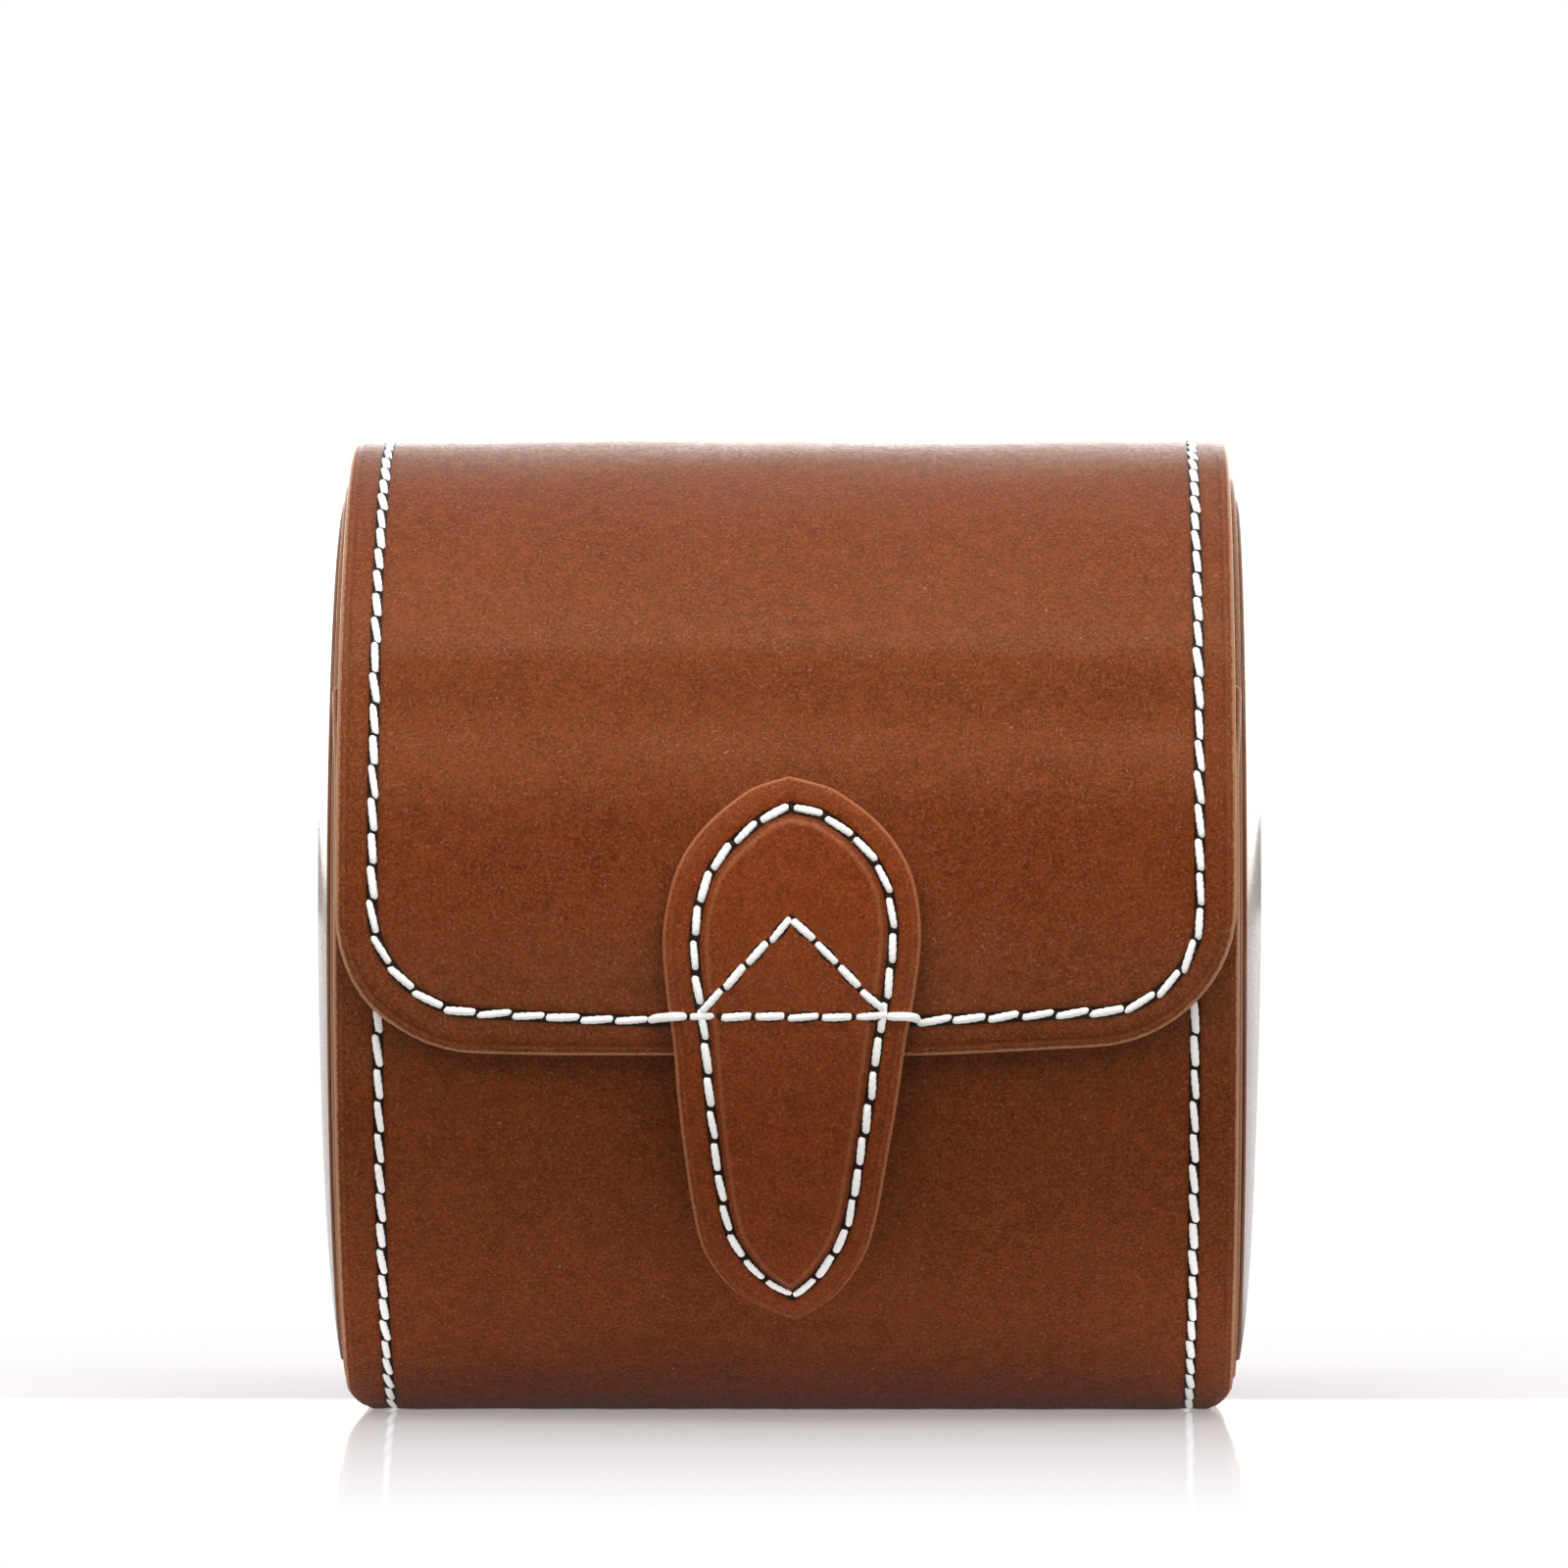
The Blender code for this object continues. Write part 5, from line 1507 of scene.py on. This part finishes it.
def plain_grained_finish(name, first, second, rough, metal, size, bump_strength, bends=True):
    """A board, metal, or near-black finish for awl holes and stitch beds painted as shade and shadow,
    grained by one noise of this size in mm. Where the piece bends, the noise keeps its place on it."""
    finish, tree, shader = new_finish(name, {"Metallic": metal})
    spot = rest_spot(tree) if bends else add(tree, "ShaderNodeTexCoord", out="Object")
    spot = add(tree, "ShaderNodeVectorMath", {0: spot, "Scale": TO_MM}, operation="SCALE")
    grain = add(tree, "ShaderNodeTexNoise", {"Vector": spot, "Scale": 1 / size, "Detail": 4.0})
    tree.links.new(blend_colours(tree, value_ramp(tree, grain, 0.35, 0.65), first, second),
                   shader.inputs["Base Color"])
    tree.links.new(value_ramp(tree, grain, 0.3, 0.7, rough - 0.05, rough + 0.05),
                   shader.inputs["Roughness"])
    bump = add(tree, "ShaderNodeBump", {"Height": grain, "Strength": bump_strength,
                                        "Distance": 0.0001})
    tree.links.new(bump, shader.inputs["Normal"])
    return finish


def make_finishes():
    """Every finish of the roll."""
    groups = {"grain": hide_grain_group(), "edge": edge_wear_and_painted_light_group(), "nap": suede_nap_group()}
    # The shade tone is painted shade, the hole tone is painted shadow along seams, and the pale edge tone is
    # both rubbed wear and painted highlight
    tones = {"dark": (0.125, 0.0262, 0.0062), "middle": (0.206, 0.0450, 0.0108),
             "bright": (0.207, 0.0500, 0.0134), "speck": (0.060, 0.0110, 0.0030),
             "pale": (0.270, 0.1150, 0.0750), "shade": (0.058, 0.0120, 0.0030),
             "worn_and_highlight": (0.480, 0.2300, 0.1200), "hole": (0.010, 0.0040, 0.0020),
             "fleck": (0.400, 0.2400, 0.1600)}
    redder = (1.20, 1.05, 0.90)
    tab_tones = {word: tuple(value * more for value, more in zip(tone, redder))
                 for word, tone in tones.items()}
    return {
        # The rim, line and panel weights set the pale rubbed edge with its painted highlight, and the
        # painted highlight lines
        "hide": hide_finish("tan_hide", groups, tones, 0.20, rim=0.85, line=0.05),
        "tab_hide": hide_finish("tab_hide", groups, tab_tones, 0.24, rim=0.45, line=0.05,
                                panel=0.15),
        "end_hide": hide_finish("end_hide", groups, tones, 0.30, rim=0.2, line=0.0, coat=0.60),
        "band_hide": hide_finish("band_hide", groups, tones, 0.30, rim=0.6, line=0.0),
        "suede": suede_finish("brown_suede", groups, (0.085, 0.040, 0.022), (0.125, 0.062, 0.036)),
        "thread": thread_finish(),
        # Near black: the painted shade in the awl holes and the painted shadow under each stitch
        "awl_hole_and_stitch_shadow": plain_grained_finish("awl_hole_and_stitch_shadow", (0.010, 0.004, 0.002), (0.022, 0.008, 0.004),
                                         0.8, 0.0, 0.3, 0.2),
        "board": plain_grained_finish("fibre_board", (0.200, 0.170, 0.130), (0.300, 0.260, 0.210),
                                      0.9, 0.0, 0.4, 0.4),
        "cad_board": plain_grained_finish("fibre_board_ends", (0.200, 0.170, 0.130),
                                          (0.300, 0.260, 0.210), 0.9, 0.0, 0.4, 0.4, bends=False),
        "metal": plain_grained_finish("nickel", (0.560, 0.540, 0.500), (0.680, 0.660, 0.620),
                                      0.26, 1.0, 0.15, 0.08, bends=False),
    }


# Studio

# How bright the surroundings are to matt surfaces, by the floor and overhead, and where they are
FILL_LOW, FILL_HIGH, FILL_SPAN = 0.03, 0.10, (-0.1, 0.9)
# What reflections see from the front (0 degrees) over the top to behind: degrees, strength
REFLECTED = ((28, 0.03), (36, 1.75), (46, 1.75), (50, 0.0), (64, 0.0), (67, 3.8), (77, 3.8),
             (84, 1.7), (96, 1.2), (115, 0.86), (130, 0.72), (150, 0.84), (180, 0.93))
REFLECTED_TONE = (1.0, 0.98, 0.94)
# Reflections weaken to the sides, in two steps: between which X, and down to what share
ASIDE_NEAR, ASIDE_NEAR_SHARE = (0.045, 0.10), 0.74
ASIDE_FAR, ASIDE_FAR_LEVEL = (0.45, 0.80), 0.4
# How pale the floor is to the eye, to matt surfaces near it and far from it, and to their sheen
FLOOR_SHOWN, FLOOR_NEAR, FLOOR_FAR, FLOOR_SHEEN = 0.76, 0.95, 0.30, 0.10
FLOOR_NEAR_DEPTH = (0.040, 0.075)
FLOOR_REACH, FLOOR_DROP = 6.0, 0.00005
# The floor's warm tint by the roll, a painted bounce of light from the leather, and how far from it that
# tint and the floor's own shading end
FLOOR_WARM_BOUNCE, FLOOR_WARM_BOUNCE_REACH = (1.0, 0.955, 0.94), (0.03, 0.22)
FLOOR_WHITE_REACH, FLOOR_WHITE_SHARE = (0.08, 0.24), 0.55
# The light that the table gives the roll's foot, as its matt colour and its sheen show it
FLOOR_GLOW, FLOOR_GLOW_DEPTH = 0.30, (0.038, 0.062)
FLOOR_GLEAM, FLOOR_GLEAM_DEPTH = 0.12, (0.026, 0.045)
# The roll's mirror image in the floor: its share and roughness, and how it fades forwards and aside
MIRROR_SHARE, MIRROR_ROUGH, MIRROR_REACH = 0.52, 0.05, 0.205
MIRROR_START, MIRROR_SIDE = (-0.015, 0.01), (0.08, 0.15)
# Soft boxes: place, width and depth, and power. Each of a pair stands on its own side.
OVERHEAD_BOX = ((0.0, 0.10, 1.20), (1.0, 1.4), 6.9)
PAIRED_BOXES = (("low", (0.562, -0.900, 0.74), (0.80, 0.74), 5.2),
                ("high", (0.310, -0.500, 1.18), (0.53, 0.60), 5.6),
                ("back", (1.10, 1.00, 0.70), (0.9, 1.2), 4.0))
BOX_AIM = Vector((0, 0, 0.05))
CAMERA_AZIMUTH, CAMERA_ELEVATION, CAMERA_AWAY = radians(0.65), radians(-0.1), 1.30
CAMERA_AIM = Vector((-0.00074, 0, 0.0610))
CAMERA_LENS = 303.0
CAMERA_NEAR, CAMERA_FAR = 0.05, 50.0


def floor_paleness(tree, light, depth):
    """How pale the floor is to each kind of ray, and paler to matt surfaces by the roll's foot."""
    bounce = value_ramp(tree, depth, *FLOOR_NEAR_DEPTH, FLOOR_NEAR, FLOOR_FAR)
    bounce = value_ramp(tree, light["Is Glossy Ray"], 0.0, 1.0, bounce, FLOOR_SHEEN)
    return value_ramp(tree, light["Is Camera Ray"], 0.0, 1.0, bounce, FLOOR_SHOWN)


def floor_mirror(tree, parts):
    """How much the floor mirrors what stands on it: only in front, and less the farther forward."""
    in_front = times(tree, parts["Y"], -1.0)
    mirror = add(tree, "ShaderNodeMapRange", {
        "Value": in_front, "From Min": 0.0, "From Max": MIRROR_REACH, "To Min": MIRROR_SHARE,
        "To Max": 0.0})
    mirror = times(tree, mirror, value_ramp(tree, in_front, *MIRROR_START))
    aside = reckon(tree, "ABSOLUTE", parts["X"])
    return times(tree, mirror, value_ramp(tree, aside, *MIRROR_SIDE, 1.0, 0.0))


def floor_finish():
    """A pale floor that keeps the roll's shadow and mirror image, and is white farther off."""
    finish = bpy.data.materials.new("floor_white")
    finish.use_nodes = True
    tree = finish.node_tree
    tree.nodes.remove(tree.nodes["Principled BSDF"])
    light = tree.nodes.new("ShaderNodeLightPath").outputs
    spot = add(tree, "ShaderNodeTexCoord", out="Object")
    parts = parts_of(tree, spot)
    away = add(tree, "ShaderNodeVectorMath", {0: spot}, out="Value", operation="LENGTH")
    depth = reckon(tree, "ABSOLUTE", parts["Y"])
    matt = add(tree, "ShaderNodeBsdfDiffuse", {"Color": floor_paleness(tree, light, depth)})
    # Warmer near the roll: painted bounce light from the leather
    warm_bounce = blend_colours(tree, value_ramp(tree, away, *FLOOR_WARM_BOUNCE_REACH), FLOOR_WARM_BOUNCE,
                         (1.0, 1.0, 1.0))
    white = add(tree, "ShaderNodeEmission", {"Color": warm_bounce, "Strength": 1.0})
    gloss = add(tree, "ShaderNodeBsdfGlossy", {"Color": (1, 1, 1, 1), "Roughness": MIRROR_ROUGH})
    mirror = floor_mirror(tree, parts)
    seen = reckon(tree, "MAXIMUM", light["Is Camera Ray"], reckon(
        tree, "MAXIMUM", light["Is Glossy Ray"], light["Is Transmission Ray"]))
    shown = add(tree, "ShaderNodeMixShader", {
        0: times(tree, light["Is Camera Ray"], FLOOR_WHITE_SHARE), 1: matt, 2: white})
    shown = add(tree, "ShaderNodeMixShader", {
        0: times(tree, seen, value_ramp(tree, away, *FLOOR_WHITE_REACH)), 1: shown, 2: white})
    shown = add(tree, "ShaderNodeMixShader", {
        0: times(tree, mirror, light["Is Camera Ray"]), 1: shown, 2: gloss})
    glow = times(tree, light["Is Diffuse Ray"],
                 value_ramp(tree, depth, *FLOOR_GLOW_DEPTH, FLOOR_GLOW, 0.0))
    gleam = times(tree, light["Is Glossy Ray"],
                  value_ramp(tree, depth, *FLOOR_GLEAM_DEPTH, FLOOR_GLEAM, 0.0))
    table = add(tree, "ShaderNodeEmission", {"Color": (1, 1, 1, 1),
                                             "Strength": reckon(tree, "ADD", glow, gleam)})
    lit = add(tree, "ShaderNodeAddShader", {0: shown, 1: table})
    tree.links.new(lit, tree.nodes["Material Output"].inputs["Surface"])
    return finish


def make_floor():
    """The floor that the roll stands on."""
    data = bpy.data.meshes.new("floor")
    reach = FLOOR_REACH
    corners = [(x, y, -FLOOR_DROP) for x, y in ((-reach, -reach), (reach, -reach), (reach, reach),
                                                (-reach, reach))]
    data.from_pydata(corners, [], [(0, 1, 2, 3)])
    floor = bpy.data.objects.new("floor", data)
    bpy.context.scene.collection.objects.link(floor)
    data.materials.append(floor_finish())


def reflected_light(tree, parts):
    """What reflections see: bands from the front over the top to behind, weaker to the sides."""
    turn = reckon(tree, "ARCTAN2", parts["Z"], times(tree, parts["Y"], -1.0))
    band = tree.nodes.new("ShaderNodeValToRGB")
    band.color_ramp.interpolation = "EASE"
    stops = band.color_ramp.elements
    brightest = max(strength for degrees, strength in REFLECTED)
    for number, (degrees, strength) in enumerate(REFLECTED):
        stop = stops[0] if number == 0 else stops.new(degrees / 180)
        stop.position, shade = degrees / 180, strength / brightest
        stop.color = (shade, shade, shade, 1)
    stops.remove(stops[-1])
    tree.links.new(reckon(tree, "DIVIDE", turn, pi), band.inputs[0])
    aside = reckon(tree, "ABSOLUTE", parts["X"])
    near = value_ramp(tree, aside, *ASIDE_NEAR, brightest, ASIDE_NEAR_SHARE * brightest)
    far = value_ramp(tree, aside, *ASIDE_FAR, brightest, ASIDE_FAR_LEVEL)
    level = times(tree, band.outputs[0], reckon(tree, "MINIMUM", near, far))
    return add(tree, "ShaderNodeBackground", {"Color": (*REFLECTED_TONE, 1), "Strength": level})


def make_surroundings():
    """The world: white to the eye, a weak even fill to matt surfaces, and bands to reflections."""
    world = bpy.context.scene.world or bpy.data.worlds.new("studio")
    bpy.context.scene.world = world
    world.use_nodes = True
    tree = world.node_tree
    tree.nodes.clear()
    light = tree.nodes.new("ShaderNodeLightPath").outputs
    parts = parts_of(tree, add(tree, "ShaderNodeTexCoord", out="Generated"))
    level = value_ramp(tree, parts["Z"], *FILL_SPAN, FILL_LOW, FILL_HIGH)
    soft = add(tree, "ShaderNodeBackground", {"Color": (1, 1, 1, 1), "Strength": level})
    white = add(tree, "ShaderNodeBackground", {"Color": (1, 1, 1, 1), "Strength": 1.0})
    reflected = reflected_light(tree, parts)
    by_reflection = reckon(tree, "MAXIMUM", light["Is Glossy Ray"], light["Is Transmission Ray"])
    sky = add(tree, "ShaderNodeMixShader", {0: by_reflection, 1: soft, 2: reflected})
    sky = add(tree, "ShaderNodeMixShader", {0: light["Is Camera Ray"], 1: sky, 2: white})
    out = tree.nodes.new("ShaderNodeOutputWorld")
    tree.links.new(sky, out.inputs["Surface"])


def make_box(name, spot, size, power):
    """A soft box that lights the roll and isn't mirrored, as the surroundings give reflections."""
    lamp = bpy.data.lights.new(name, "AREA")
    lamp.shape = "RECTANGLE"
    lamp.size, lamp.size_y = size
    lamp.energy = power
    holder = bpy.data.objects.new(name, lamp)
    holder.location = spot
    holder.rotation_euler = (BOX_AIM - Vector(spot)).to_track_quat("-Z", "Y").to_euler()
    holder.visible_glossy = False
    bpy.context.scene.collection.objects.link(holder)


def make_camera():
    """The camera, a long way off and almost straight in front."""
    camera = bpy.data.cameras.new("camera")
    camera.sensor_width = 36.0
    camera.lens = CAMERA_LENS
    camera.clip_start, camera.clip_end = CAMERA_NEAR, CAMERA_FAR
    eye = bpy.data.objects.new("camera", camera)
    back = Vector((sin(CAMERA_AZIMUTH) * cos(CAMERA_ELEVATION),
                   -cos(CAMERA_AZIMUTH) * cos(CAMERA_ELEVATION), sin(CAMERA_ELEVATION)))
    eye.location = CAMERA_AIM + back * CAMERA_AWAY
    eye.rotation_euler = (-back).to_track_quat("-Z", "Y").to_euler()
    bpy.context.scene.collection.objects.link(eye)
    bpy.context.scene.camera = eye


def make_studio():
    """The pale floor, the white surroundings, the soft boxes and the camera."""
    make_floor()
    make_surroundings()
    make_box("overhead", *OVERHEAD_BOX)
    for word, (x, y, z), size, power in PAIRED_BOXES:
        make_box(f"{word}_left_box", (-x, y, z), size, power)
        make_box(f"{word}_right_box", (x, y, z), size, power)
    make_camera()
    bpy.context.scene.view_settings.view_transform = "Standard"


finishes = make_finishes()
bend = make_shell(finishes)
flex, tab_lines = make_tab(finishes)
make_ends(finishes)
make_cushion(finishes)
make_seams(finishes, bend, flex, tab_lines)
for node, finish in (("end_board_left", "cad_board"), ("end_board_right", "cad_board"),
                     ("snap_socket", "metal"), ("snap_socket_washer", "metal"),
                     ("snap_stud", "metal"), ("snap_stud_washer", "metal")):
    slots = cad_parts[node].data.materials
    slots.clear()
    slots.append(finishes[finish])
make_studio()
